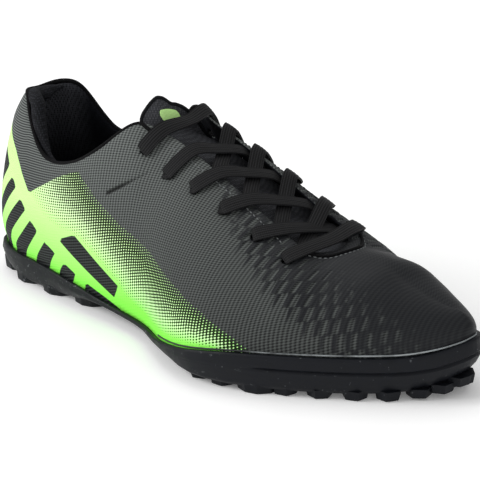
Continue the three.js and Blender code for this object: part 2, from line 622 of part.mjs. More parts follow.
function buildUpper() {
  const outer = newMesh();
  const sideIds = { "-1": [], "1": [] };
  const meta = [];
  for (const side of [-1, 1]) {
    for (let i = 0; i <= lastColumn; i += 1) {
      const ids = [];
      for (let j = 0; j <= topStep; j += 1) {
        const shared = i === 0 || i === lastColumn || (j === topStep && i >= tipColumn);
        if (side > 0 && shared) {
          ids.push(sideIds["-1"][i][j]);
        } else {
          ids.push(addPoint(outer, upperPoint(columns[i], side, riseSteps[j])));
          meta.push({ place: columns[i], rise: riseSteps[j] });
        }
      }
      sideIds[String(side)].push(ids);
    }
  }
  for (const side of [-1, 1]) {
    const grid = sideIds[String(side)];
    for (let i = 0; i < lastColumn; i += 1) {
      for (let j = 0; j < topStep; j += 1) {
        const a = grid[i][j];
        const b = grid[i + 1][j];
        const c = grid[i + 1][j + 1];
        const d = grid[i][j + 1];
        if (side < 0) {
          addQuad(outer, a, b, c, d);
        } else {
          addQuad(outer, d, c, b, a);
        }
      }
    }
  }
  const count = outer.points.length;
  const normals = outer.points.map(() => new THREE.Vector3());
  for (const face of outer.faces) {
    const [p, q, r] = face.map((k) => new THREE.Vector3(...outer.points[k]));
    const n = q.clone().sub(p).cross(r.clone().sub(p));
    for (const k of face) {
      normals[k].add(n);
    }
  }
  const mesh = newMesh();
  mesh.points = outer.points.slice();
  mesh.faces = outer.faces.slice();
  for (let k = 0; k < count; k += 1) {
    const n = normals[k];
    if (meta[k].rise <= 0) {
      n.z = 0;
    }
    n.normalize();
    const wall = wallThickness(meta[k].place, meta[k].rise);
    const p = outer.points[k];
    mesh.points.push([p[0] - n.x * wall, p[1] - n.y * wall, p[2] - n.z * wall]);
  }
  for (const [a, b, c] of outer.faces) {
    mesh.faces.push([count + a, count + c, count + b]);
  }
  for (const side of [-1, 1]) {
    const grid = sideIds[String(side)];
    for (let i = 0; i < lastColumn; i += 1) {
      const rims = [[grid[i][0], grid[i + 1][0], 1]];
      if (i < tipColumn) {
        rims.push([grid[i][topStep], grid[i + 1][topStep], -1]);
      }
      for (const [a, b, turn] of rims) {
        if (turn * side < 0) {
          addQuad(mesh, a, count + a, count + b, b);
        } else {
          addQuad(mesh, a, b, count + b, count + a);
        }
      }
    }
  }
  return toSolid(mesh);
}

// The place on the outer face above a point in plan, found by stepping along the face.
function locate(x, y, side, placeGuess, riseGuess) {
  let place = placeGuess;
  let rise = riseGuess;
  const small = 0.004;
  for (let turn = 0; turn < 14; turn += 1) {
    const p = upperPoint(place, side, rise);
    const a = upperPoint(place + small, side, rise);
    const b = upperPoint(place, side, rise - small);
    const ax = (a.x - p.x) / small;
    const ay = (a.y - p.y) / small;
    const bx = (p.x - b.x) / small;
    const by = (p.y - b.y) / small;
    const size = ax * by - ay * bx;
    const gx = x - p.x;
    const gy = y - p.y;
    place += Math.min(Math.max((gx * by - gy * bx) / size, -0.6), 0.6);
    rise += Math.min(Math.max((ax * gy - ay * gx) / size, -0.12), 0.12);
    place = Math.min(Math.max(place, 5), rowTotal - 0.5);
    rise = Math.min(Math.max(rise, 0.2), 1);
  }
  const p = upperPoint(place, side, rise);
  return { place, rise, p, gap: Math.hypot(p.x - x, p.y - y), n: upperNormal(place, side, rise) };
}

function bar(a, b, radius, sides) {
  const axis = b.clone().sub(a).normalize();
  const side = new THREE.Vector3(1, 0, 0).cross(axis).normalize();
  const other = axis.clone().cross(side);
  const mesh = newMesh();
  const ends = [a, b].map((end) => {
    const ids = [];
    for (let i = 0; i < sides; i += 1) {
      const t = (2 * Math.PI * i) / sides;
      const p = end.clone().addScaledVector(side, radius * Math.cos(t));
      ids.push(addPoint(mesh, p.addScaledVector(other, radius * Math.sin(t))));
    }
    return ids;
  });
  for (let i = 0; i < sides; i += 1) {
    const n = (i + 1) % sides;
    addQuad(mesh, ends[0][i], ends[1][i], ends[1][n], ends[0][n]);
  }
  for (let i = 1; i < sides - 1; i += 1) {
    addFace(mesh, ends[0][0], ends[0][i], ends[0][i + 1]);
    addFace(mesh, ends[1][0], ends[1][i + 1], ends[1][i]);
  }
  return toSolid(mesh);
}

const holes = laceHoles.map((row) => ({
  outer: locate(row.x * shoeLength, -row.outerY * ballWidth, -1, row.near, 0.8),
  inner: locate(row.x * shoeLength, row.innerY * ballWidth, 1, row.near, 0.8),
}));

function pierce(upper) {
  let result = upper;
  for (const pair of holes) {
    for (const hole of [pair.outer, pair.inner]) {
      const a = hole.p.clone().addScaledVector(hole.n, 2);
      const b = hole.p.clone().addScaledVector(hole.n, -4.5);
      result = result.subtract(bar(a, b, holeRadius, holeSides));
    }
  }
  return result;
}

// Insole: follows the floor inside the upper, cupped a little at its edge.
function buildInsole() {
  const mesh = newMesh();
  const inset = lipThickness + fitGap + toeWall + fitGap * 2;
  const places = columns.filter((c, i) => i % 2 === 0 || i === lastColumn);
  const list = places.map((c) => ({ u: c }));
  for (let i = places.length - 2; i > 0; i -= 1) {
    list.push({ u: ringPeriod - places[i] });
  }
  const ids = list.map(({ u }) => {
    const s = soleAt(u);
    const out = outwardAt(u);
    const at = (into, z) => addPoint(mesh, { x: s.lipX - out.x * into, y: s.lipY - out.y * into, z });
    const low = s.floorZ + fitGap;
    return [
      at(inset + 0.9, low),
      at(inset, low + 0.9),
      at(inset, low + insoleThickness + insoleCup - 0.5),
      at(inset + 1.4, low + insoleThickness + insoleCup),
      at(inset + 7, low + insoleThickness + insoleCup * 0.25),
      at(inset + 11, low + insoleThickness),
    ];
  });
  const count = ids.length;
  const steps = ids[0].length;
  for (let i = 0; i < count; i += 1) {
    const n = (i + 1) % count;
    for (let k = 0; k < steps - 1; k += 1) {
      addQuad(mesh, ids[i][k], ids[i][k + 1], ids[n][k + 1], ids[n][k]);
    }
  }
  const half = places.length - 1;
  const other = (i) => (i === 0 ? 0 : count - i);
  for (let i = 0; i < half; i += 1) {
    const a = ids[i];
    const b = ids[i + 1];
    const c = ids[other(i + 1)];
    const d = ids[other(i)];
    addQuad(mesh, a[0], b[0], c[0], d[0]);
    addQuad(mesh, d[steps - 1], c[steps - 1], b[steps - 1], a[steps - 1]);
  }
  return toSolid(mesh);
}

// Tongue: rows from its free top edge down under the vamp, points across each row.
const tongueAcross = 10;

function tonguePoint(row, k) {
  const w = (2 * k) / tongueAcross - 1;
  const half = (w < 0 ? row.outer : row.inner) * ballWidth;
  const centre = row.y * ballWidth;
  const sag = Math.pow(Math.abs(w), 1.7) * row.drop * heelHeight;
  const bump = row.lift * heelHeight * (w < 0 ? 1 : 0.35);
  const tilt = (-w * tongueTilt * row.lift) / tongueRows[0].lift;
  const lift = bump * Math.sin(Math.PI * Math.min(Math.abs(w) * 1.1, 1)) + tilt;
  const back = row.back * shoeLength * w;
  const p = new THREE.Vector3(row.x * shoeLength + back, centre + w * half, row.z * heelHeight - sag + lift);
  if (row.x * shoeLength > tongueFree) {
    p.z = Math.min(p.z, underUpper(p, row.near));
  }
  return p;
}

// Highest place for the tongue below the lace flaps and the vamp.
function underUpper(p, near) {
  let limit = 1e9;
  const middle = (topAt(Math.max(near, throatEnd), 1).y + topAt(Math.max(near, throatEnd), -1).y) / 2;
  const sides = near > throatEnd - 0.6 && Math.abs(p.y - middle) < 6 ? [-1, 1] : [p.y < middle ? -1 : 1];
  for (const side of sides) {
    const hit = locate(p.x, p.y, side, near, 0.85);
    if (hit.gap < rimReach) {
      const drop = (wallThickness(hit.place, hit.rise) + tongueGap) / Math.max(hit.n.z, 0.35);
      limit = Math.min(limit, hit.p.z - drop + hit.gap * 0.25);
    }
  }
  return limit;
}

function buildTongue() {
  const mesh = newMesh();
  const knots = tongueRows.map((row, i) => i);
  const fine = [];
  const perRow = 2;
  for (let i = 0; i <= (tongueRows.length - 1) * perRow; i += 1) {
    const row = {};
    for (const key of Object.keys(tongueRows[0])) {
      row[key] = smooth(knots, tongueRows.map((r) => r[key]), i / perRow);
    }
    fine.push(row);
  }
  const top = fine.map((row) => {
    const ids = [];
    for (let k = 0; k <= tongueAcross; k += 1) {
      ids.push(tonguePoint(row, k));
    }
    return ids;
  });
  const last = top.length - 1;
  const normal = (i, k) => {
    const a = top[Math.max(i - 1, 0)][k];
    const b = top[Math.min(i + 1, last)][k];
    const c = top[i][Math.max(k - 1, 0)];
    const d = top[i][Math.min(k + 1, tongueAcross)];
    return b.clone().sub(a).cross(d.clone().sub(c)).normalize();
  };
  const upIds = top.map((row) => row.map((p) => addPoint(mesh, p)));
  const downIds = top.map((row, i) =>
    row.map((p, k) => addPoint(mesh, p.clone().addScaledVector(normal(i, k), -tongueThickness))),
  );
  for (let i = 0; i < last; i += 1) {
    for (let k = 0; k < tongueAcross; k += 1) {
      addQuad(mesh, upIds[i][k], upIds[i + 1][k], upIds[i + 1][k + 1], upIds[i][k + 1]);
      addQuad(mesh, downIds[i][k + 1], downIds[i + 1][k + 1], downIds[i + 1][k], downIds[i][k]);
    }
    addQuad(mesh, upIds[i][0], downIds[i][0], downIds[i + 1][0], upIds[i + 1][0]);
    const e = tongueAcross;
    addQuad(mesh, upIds[i][e], upIds[i + 1][e], downIds[i + 1][e], downIds[i][e]);
  }
  for (let k = 0; k < tongueAcross; k += 1) {
    addQuad(mesh, upIds[0][k], upIds[0][k + 1], downIds[0][k + 1], downIds[0][k]);
    addQuad(mesh, upIds[last][k], downIds[last][k], downIds[last][k + 1], upIds[last][k + 1]);
  }
  return toSolid(mesh);
}

// A flat lace along a path; each stop has a place and the way its flat face looks.
function ribbon(stops, steps) {
  const knots = stops.map((s, i) => i);
  const pick = (get, at) => smooth(knots, stops.map(get), at);
  const frames = [];
  for (let i = 0; i <= steps; i += 1) {
    const t = ((stops.length - 1) * i) / steps;
    const at = (d) => {
      const q = Math.min(Math.max(t + d, 0), stops.length - 1);
      return new THREE.Vector3(pick((s) => s.p.x, q), pick((s) => s.p.y, q), pick((s) => s.p.z, q));
    };
    const p = at(0);
    const ahead = at(0.03).sub(at(-0.03)).normalize();
    const up = new THREE.Vector3(pick((s) => s.n.x, t), pick((s) => s.n.y, t), pick((s) => s.n.z, t));
    up.addScaledVector(ahead, -up.dot(ahead)).normalize();
    frames.push({ p, up, across: ahead.clone().cross(up).normalize() });
  }
  const w = laceWidth / 2;
  const h = laceThickness / 2;
  const edge = 0.8;
  const section = [
    { a: w, b: 0 },
    { a: w - edge, b: h },
    { a: edge - w, b: h },
    { a: -w, b: 0 },
    { a: edge - w, b: -h },
    { a: w - edge, b: -h },
  ];
  const mesh = newMesh();
  const ids = frames.map((f) =>
    section.map((c) => addPoint(mesh, f.p.clone().addScaledVector(f.across, c.a).addScaledVector(f.up, c.b))),
  );
  const n = section.length;
  for (let i = 0; i < steps; i += 1) {
    for (let k = 0; k < n; k += 1) {
      const m = (k + 1) % n;
      addQuad(mesh, ids[i][k], ids[i + 1][k], ids[i + 1][m], ids[i][m]);
    }
  }
  for (let k = 1; k < n - 1; k += 1) {
    addFace(mesh, ids[0][0], ids[0][k], ids[0][k + 1]);
    addFace(mesh, ids[steps][0], ids[steps][k + 1], ids[steps][k]);
  }
  return toSolid(mesh);
}

function above(hole, lift) {
  return { p: hole.p.clone().addScaledVector(hole.n, lift), n: hole.n.clone() };
}

function flapEdge(place, side, lift) {
  const rise = 0.985;
  const p = upperPoint(place, side, rise);
  const n = upperNormal(place, side, rise);
  return { p: p.addScaledVector(n, lift), n };
}

function straightRun(pair, arch, bend, ahead) {
  const stops = [above(pair.outer, laceLift), flapEdge(pair.outer.place + ahead, -1, laceLift + 0.6)];
  const last = [flapEdge(pair.inner.place + ahead, 1, laceLift + 0.6), above(pair.inner, laceLift)];
  const mid = stops[1].p.clone().lerp(last[0].p, 0.5);
  mid.z += arch;
  mid.x += bend;
  stops[1].p.z += arch * 0.2;
  last[0].p.z += arch * 0.9;
  stops.push({ p: mid, n: new THREE.Vector3(0.35, 0, 1).normalize() });
  return ribbon([...stops, ...last], 8);
}

// One strand: from inside the throat at one side, up over the other flap and down to its hole.
function strand(from, to, fromSide, rise, further) {
  const start = openingAt(from.place, fromSide);
  const middleY = throatTip.y * ballWidth;
  const inward = Math.sign(middleY - start.y);
  const up = new THREE.Vector3(0.35, 0, 1).normalize();
  const a = new THREE.Vector3(start.x - startBack - further, start.y + inward * startIn, start.z - startDown);
  const edge = flapEdge(to.place + strandAhead, -fromSide, laceLift + (fromSide < 0 ? innerLift : outerLift));
  const mid = a.clone().lerp(edge.p, 0.5);
  mid.z += rise - strandSag;
  return ribbon([{ p: a, n: up }, { p: mid, n: up }, edge, above(to, laceLift)], 7);
}

function crossing(low, high, further) {
  const under = strand(low.outer, high.inner, -1, crossUnder, further);
  const over = strand(low.inner, high.outer, 1, crossUnder + laceThickness * 0.93, further);
  return under.add(over);
}

function cloth(name, color) {
  const material = new THREE.MeshStandardMaterial({ color, roughness: 0.85 });
  material.name = name;
  return material;
}

const rubber = new THREE.MeshStandardMaterial({ color: 0x2a2d31, roughness: 0.6 });
rubber.name = "moulded rubber";
const coated = cloth("coated woven cloth", 0x3a3c3c);
const padded = cloth("padded cloth", 0x26272a);
const foam = cloth("foam footbed", 0x16171a);
const laceCloth = cloth("flat woven lace", 0x1c1c1e);

const group = new THREE.Group();
group.add(toNode(addLugs(buildSole()), "outsole", rubber));
group.add(toNode(buildInsole(), "insole", foam));
group.add(toNode(pierce(buildUpper()), "upper", coated));
group.add(toNode(buildTongue(), "tongue", padded));
group.add(toNode(straightRun(holes[0], topRunArch * heelHeight, topRunBend, topRunAhead), "lace_bar_top", laceCloth));
for (let i = 1; i < holes.length - 1; i += 1) {
  const further = i === holes.length - 2 ? lastBack : 0;
  group.add(toNode(crossing(holes[i + 1], holes[i], further), "lace_cross_" + i, laceCloth));
}
group.add(toNode(straightRun(holes[holes.length - 1], bottomRunArch * heelHeight, bottomRunBend, bottomRunAhead), "lace_bar_bottom", laceCloth));

// Middle of the box over the origin, lowest point on the floor.
const box = new THREE.Box3().setFromObject(group);
for (const node of group.children) {
  node.geometry.translate(-(box.min.x + box.max.x) / 2, -(box.min.y + box.max.y) / 2, -box.min.z);
}

export default group;
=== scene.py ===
# Turf shoe, right foot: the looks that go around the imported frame.
# Lengths in the tables are millimetres in the row frame: toe along +X, outer side along -Y, up along +Z.

import math

import bpy
import numpy as np
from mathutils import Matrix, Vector
from mathutils.bvhtree import BVHTree


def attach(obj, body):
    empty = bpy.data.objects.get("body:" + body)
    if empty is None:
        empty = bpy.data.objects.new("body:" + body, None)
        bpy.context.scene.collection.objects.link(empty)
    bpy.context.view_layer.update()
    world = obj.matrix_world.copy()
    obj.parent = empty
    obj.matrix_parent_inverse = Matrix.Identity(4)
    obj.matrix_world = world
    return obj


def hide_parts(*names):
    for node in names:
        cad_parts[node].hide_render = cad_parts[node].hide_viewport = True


bl_info = {
    "name": "Turf shoe",
    "version": (1, 0, 0),
    "blender": (4, 5, 0),
    "location": "View3D > Sidebar > Shoe",
    "description": "Dresses the frame of a turf shoe and sets the stage",
    "category": "Object",
}

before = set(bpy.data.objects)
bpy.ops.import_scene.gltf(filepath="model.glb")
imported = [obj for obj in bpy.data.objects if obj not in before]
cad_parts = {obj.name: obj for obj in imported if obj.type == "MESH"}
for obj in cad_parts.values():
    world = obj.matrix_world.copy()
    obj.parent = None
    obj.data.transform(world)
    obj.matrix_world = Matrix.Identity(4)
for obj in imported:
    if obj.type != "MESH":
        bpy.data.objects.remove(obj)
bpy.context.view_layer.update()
MM = 0.001

# The photo's camera as worked out from the silhouette: place in metres, degrees that it looks down and
# is turned from a square view of the outer side, and focal length in pixels.
CAMERA_PLACE = (0.6579, -0.6588, 0.3904)
CAMERA_DOWN = 20.4
CAMERA_TURN = 44
FOCAL_PIXELS = 2090.8
PHOTO_WIDTH = 480
SENSOR_WIDTH = 36

# How far the heel's rim leans forward, the inner rim drops and a lace goes down into its hole.
HEEL_TUCK = 3.0
INNER_DROP = 2.2
LACE_DIP = 2.6

# Depth and half width of the pressed crease, and radius of the padded band inside the collar.
CREASE_DEPTH = 0.9
CREASE_WIDTH = 1.1
PAD_RADIUS = 3.6

# Strength of the white world, and how much light the paper floor gives of its own.
WORLD_STRENGTH = 0.55
FLOOR_GLOW = 0.12

# Soft studio lights: name, place and size in metres, power in watts.
LIGHTS = [
    ("key", (-0.95, -1.35, 1.15), 0.9, 22),
    ("fill", (1.6, -0.5, 0.7), 1.2, 2),
    ("top", (-0.6, 0.4, 1.8), 1.2, 7),
]

# First row of FEATHER that has a line of cement.
CEMENT_FROM = 9

# Plan of the upper at the rim of the sole: x, y of the outer side, y of the inner side, and the height
# of the rim on the outer and on the inner side.
FEATHER = np.array([
    (-141.8, 6.8, 6.8, 16.8, 16.8), (-137.6, -8.4, 22.0, 16.8, 16.8), (-129.5, -16.5, 29.9, 16.7, 16.7),
    (-111.9, -23.1, 36.1, 16.3, 16.5), (-92.1, -25.2, 37.3, 15.9, 16.1),
    (-67.1, -27.7, 37.1, 14.0, 15.4), (-45.1, -28.8, 36.9, 11.8, 14.7),
    (-25.6, -30.1, 37.3, 10.6, 14.6), (-7.2, -33.3, 38.6, 10.4, 14.9), (9.4, -41.5, 41.7, 11.6, 15.6),
    (25.3, -48.2, 44.9, 14.6, 17.0), (41.9, -51.0, 48.1, 17.7, 18.7), (60.9, -45.9, 50.5, 20.2, 20.2),
    (83.0, -33.6, 50.8, 21.2, 21.3), (104.2, -18.0, 47.7, 21.9, 22.2), (121.6, -3.0, 41.8, 23.0, 23.8),
    (133.0, 8.3, 35.7, 25.6, 26.5), (139.1, 18.4, 29.8, 28.1, 28.5), (140.8, 24.2, 24.2, 29.2, 29.2),
])

# Topline of the collar, from the corner of the outer flap round the heel to the inner flap: x, y, z.
TOPLINE = [
    (-35.2, -11.2, 98.0), (-42.5, -16.8, 92.6), (-50.2, -21.5, 85.0), (-59.8, -22.6, 78.2),
    (-70.2, -22.2, 72.4), (-81.5, -21.6, 69.0), (-92.2, -20.2, 68.2), (-100.1, -18.1, 70.8),
    (-106.7, -15.5, 76.0), (-112.7, -13.1, 84.7), (-118.2, -10.5, 92.6), (-123.7, -7.5, 94.7),
    (-128.2, -3.7, 94.5), (-130.5, 1.3, 93.7), (-131.2, 6.8, 93.0), (-130.6, 12.5, 94.0),
    (-128.2, 18.0, 95.0), (-123.3, 22.5, 95.4), (-117.2, 26.4, 93.8), (-111.3, 30.2, 86.9),
    (-105.2, 33.2, 79.0), (-99.3, 34.7, 73.5), (-92.2, 35.4, 70.2), (-81.6, 35.5, 70.3),
    (-70.2, 35.3, 73.0), (-59.8, 35.4, 78.6), (-50.2, 34.8, 85.4), (-42.5, 32.1, 92.6),
    (-35.2, 28.8, 98.0),
]

# Edge of the tongue that shows, from the outer side over the top to the inner side: x, y, z.
TONGUE_EDGE = [
    (-18.7, -15.3, 75.4), (-24.5, -13.8, 80.6), (-29.2, -12.0, 84.2), (-33.8, -9.8, 91.0),
    (-38.2, -7.1, 99.2), (-36.8, -4.2, 102.9), (-34.0, 1.6, 108.4), (-32.6, 4.6, 107.3),
    (-31.2, 7.5, 104.2), (-29.8, 9.9, 103.4), (-27.0, 14.9, 99.8), (-24.2, 19.8, 92.2),
    (-24.0, 23.6, 87.1), (-23.2, 27.3, 82.8),
]

# Lace holes, an outer and an inner one in turn: x, y, z, and the outward direction of the surface.
LACE_HOLES = [
    (-26.4, -14.7, 86.9, 0.40, -0.75, 0.53), (-26.4, 32.3, 84.9, 0.17, 0.93, 0.33),
    (-9.7, -15.0, 79.1, 0.08, -0.75, 0.66), (-9.7, 32.8, 77.6, 0.02, 0.92, 0.38),
    (7.4, -15.0, 76.1, 0.19, -0.59, 0.79), (7.4, 32.8, 76.5, 0.08, 0.85, 0.52),
    (26.2, -15.0, 70.3, 0.31, -0.44, 0.84), (26.2, 32.8, 72.3, 0.20, 0.72, 0.67),
    (46.3, -15.0, 62.3, 0.35, -0.36, 0.86), (46.3, 33.2, 65.2, 0.28, 0.57, 0.77),
    (65.4, -15.0, 56.1, 0.22, -0.37, 0.90), (65.4, 33.4, 58.5, 0.26, 0.43, 0.86),
]

# Direction that a lace's flat side faces over the middle of the throat.
UP = (0.33, 0.0, 0.94)

# Lace runs: the node each stands for, the holes it comes out of and goes into, None where it slips
# under the flap, and its stops: x, y, z, and the direction that its flat side faces.
LACE_RUNS = [
    ("lace_bar_top", 0, 1, [
        (-25.9, -15.6, 87.5, 0.40, -0.75, 0.53), (-22.7, -6.6, 95.6, 0.55, -0.50, 0.67),
        (-20.6, 9.8, 97.4, *UP), (-24.0, 25.6, 98.4, 0.42, 0.65, 0.64),
        (-26.2, 33.4, 85.3, 0.17, 0.93, 0.33)]),
    ("lace_cross_1", None, 3, [
        (10.5, -3.5, 80.0, *UP), (7.0, 2.2, 82.8, *UP), (-0.2, 12.7, 86.4, *UP),
        (-7.0, 23.8, 93.4, 0.25, 0.56, 0.79), (-9.7, 33.9, 78.1, 0.02, 0.92, 0.38)]),
    ("lace_cross_1", None, 2, [
        (6.6, 23.5, 82.6, *UP), (4.4, 18.0, 86.0, *UP), (-0.1, 7.4, 88.0, *UP),
        (-5.0, -4.3, 88.9, 0.26, -0.52, 0.83), (-9.6, -16.0, 79.6, 0.08, -0.76, 0.65)]),
    ("lace_cross_2", None, 5, [
        (30.5, -3.5, 71.5, *UP), (26.5, 2.2, 74.6, *UP), (18.9, 12.5, 79.3, *UP),
        (11.8, 23.7, 87.0, 0.32, 0.40, 0.86), (7.5, 33.9, 77.1, 0.08, 0.85, 0.52)]),
    ("lace_cross_2", None, 4, [
        (27.4, 23.5, 74.5, *UP), (24.4, 18.0, 78.2, *UP), (19.1, 7.4, 80.7, *UP),
        (13.3, -4.4, 82.3, 0.34, -0.38, 0.86), (7.6, -15.8, 76.9, 0.19, -0.60, 0.78)]),
    ("lace_cross_3", None, 7, [
        (50.6, -3.5, 62.6, *UP), (46.6, 1.8, 65.4, *UP), (39.1, 12.2, 70.6, *UP),
        (32.0, 23.5, 78.8, 0.39, 0.28, 0.88), (26.4, 33.7, 73.1, 0.20, 0.72, 0.67)]),
    ("lace_cross_3", None, 6, [
        (48.2, 24.0, 65.4, *UP), (45.0, 18.4, 69.0, *UP), (39.2, 7.4, 71.9, *UP),
        (32.9, -4.5, 73.9, 0.39, -0.29, 0.87), (26.6, -15.6, 71.2, 0.31, -0.44, 0.84)]),
    ("lace_cross_4", None, 9, [
        (65.5, -4.6, 55.8, *UP), (61.8, 0.4, 58.2, *UP), (57.2, 11.8, 62.3, *UP),
        (53.0, 23.9, 69.3, 0.41, 0.20, 0.89), (46.7, 33.9, 66.1, 0.28, 0.57, 0.77)]),
    ("lace_cross_4", None, 8, [
        (63.4, 25.4, 57.6, *UP), (60.8, 19.8, 60.2, *UP), (57.4, 7.8, 62.9, *UP),
        (53.6, -4.8, 64.8, 0.36, -0.25, 0.90), (46.7, -15.5, 63.3, 0.35, -0.36, 0.86)]),
    ("lace_bar_bottom", 10, 11, [
        (65.7, -15.5, 57.2, 0.22, -0.37, 0.90), (69.0, -4.6, 59.7, 0.32, -0.13, 0.94),
        (70.6, 10.0, 60.6, *UP), (68.6, 24.6, 61.3, 0.41, 0.02, 0.91),
        (65.7, 33.9, 59.6, 0.26, 0.43, 0.86)]),
]

# Seam round the end of the throat, on the vamp: x, y, z.
THROAT_SEAM = [
    (66.0, -8.5, 57.5), (71.5, -5.5, 57.2), (76.0, -0.5, 56.8), (78.8, 5.5, 56.8),
    (80.2, 12.0, 57.2), (79.6, 18.5, 57.4), (76.6, 24.5, 57.4), (71.5, 28.5, 57.8),
]

# Edges of the lace flaps, from the corner of the collar to the end of the throat: x, y, z.
FLAP_EDGES = {
    "outer": [(-24.0, -8.6, 92.0), (-10.3, -5.6, 87.6), (7.8, -5.6, 81.6), (25.7, -5.6, 74.2),
        (44.3, -6.2, 65.6), (60.0, -8.0, 59.4)],
    "inner": [(-24.0, 26.8, 95.0), (-10.3, 25.6, 90.6), (7.8, 25.4, 85.0), (25.7, 25.4, 77.8),
        (44.3, 25.8, 69.6), (60.0, 27.0, 61.6)],
}

# Print on the quarter, charted as way round from the middle of the heel and height: where the fade
# begins and ends, the whole print, its solid part, and the dark windows in it.
FADE_START = [
    (60.5, 50), (67, 45.5), (76, 41), (86.4, 38.6), (97.8, 38.5), (104.2, 37.2), (119.4, 30.1),
    (132.3, 22.4), (136, 18), (144, 15.0), (160, 13.0), (178, 14.2), (196, 17.5), (214, 19),
]
FADE_END = [
    (100, 72), (108.8, 63.1), (120.7, 56.2), (132, 51.2), (147.3, 47.0), (168.7, 42.6), (188.3, 38.5),
    (203.9, 34), (213, 30), (223.5, 24.6), (232, 18),
]
PRINT_FIELD = [
    (-9, 92), (-3, 88), (14, 82), (31.2, 71.8), (40, 67), (48.4, 60.2), (59.8, 49.1), (65.3, 52.8),
    (72.3, 57.0), (79.9, 61.6), (87.6, 65.3), (97.8, 69.3), *FADE_END[1:], (236, 0), (-9, 0),
]
PRINT_SOLID = [(-9, 95), (31.2, 76), (48.4, 63), *FADE_START, (226, 17), (226, 0), (-9, 0)]
PRINT_WINDOWS = [
    [(24, 65), (30.3, 61.5), (35.6, 57.6), (28.4, 49.8), (17, 36), (9, 22), (6, 8), (3, 8), (3, 30),
     (8, 44), (16, 57)],
    [(41.6, 53.1), (47.4, 49.1), (40, 42.1), (29.1, 30.2), (21.5, 18), (19, 8), (9, 8), (11.5, 18),
     (18, 28), (28.8, 40.1), (35.4, 47.8)],
    [(53.2, 44.7), (58.3, 40.2), (51.9, 33), (44.2, 25.4), (39, 17), (36, 8), (26, 8), (30, 20),
     (35, 27), (41.3, 33.5)],
    [(62.9, 36.2), (69.1, 31.9), (63.2, 24.4), (57, 17), (52, 8), (41, 8), (46, 18), (54.9, 26.9)],
    [(75.2, 28.2), (83.9, 24.7), (78, 17), (71.5, 8), (60, 8), (66, 17), (71.7, 23.9)],
    [(90.9, 21.5), (99.6, 18.1), (95, 12), (92, 6), (80, 6), (85, 15)],
    [(106.7, 15.5), (131, 8.2), (131, 4), (101, 4), (104, 10.8)],
    [(86.6, 32.8), (99.1, 38.3), (132.5, 21.1), (128.1, 13.9)],
]

# Crease pressed into the outer side below the corner of the collar: x, y, z.
CREASE_LINE = [(-41.3, -25.9, 64.3), (-30.1, -23.2, 71.3), (-19.7, -18.0, 78.0)]

# Soft folds of a worn upper: one end, the other end, half width and how far the surface moves.
SOFT_FOLDS = [
    ((66, -34, 36), (74, 8, 57), 6.0, -0.55),
    ((76, -30, 34), (84, 6, 56), 5.0, 0.45),
    ((86, -26, 32), (95, 10, 53), 5.5, -0.5),
    ((66, 48, 34), (76, 26, 57), 6.0, -0.5),
    ((88, 48, 34), (95, 26, 53), 5.5, -0.45),
    ((104, 2, 45), (110, 38, 44), 4.5, -0.35),
    ((-52, -26, 40), (-20, -26, 62), 9.0, -0.5),
    ((-14, -24, 62), (18, -38, 44), 9.0, 0.5),
    ((-100, -22, 60), (-70, -24, 55), 7.0, -0.35),
]


def linear(hex_colour):
    """A linear colour from its sRGB hex value."""
    parts = [int(hex_colour[i : i + 2], 16) / 255 for i in (0, 2, 4)]
    return tuple(c / 12.92 if c <= 0.04045 else ((c + 0.055) / 1.055) ** 2.4 for c in parts)


def colour(label, text, hex_colour):
    """A colour that a user would change."""
    return bpy.props.FloatVectorProperty(name=label, description=text, default=linear(hex_colour), size=3,
        subtype="COLOR", min=0, max=1)


def length(label, text, default):
    """A length that a user would change, in metres."""
    return bpy.props.FloatProperty(name=label, description=text, default=default, unit="LENGTH",
        precision=5)


class ShoeSizes(bpy.types.PropertyGroup):
    thread_pitch: length("Thread pitch", "Spacing of the knit and of the printed dots round the shoe",
        1.7 * MM)
    course_pitch: length("Course pitch", "Spacing of the knit rows up the side", 1.45 * MM)
    heel_radius: length("Heel radius", "Radius of the heel in plan", 33 * MM)
    lace_width: length("Lace width", "Width of the flat lace", 7.2 * MM)
    lace_gauge: length("Lace gauge", "Thickness of the flat lace", 1.25 * MM)
    binding: length("Binding", "Radius of the rolled edge of collar and tongue", 0.95 * MM)
    cement: length("Cement bead", "Radius of the cement line along the sole", 0.4 * MM)
    stitch: length("Stitch", "Length of one stitch", 1.7 * MM)
    scale_relief: length("Scale relief", "Height of the raised scales of the forefoot", 0.55 * MM)


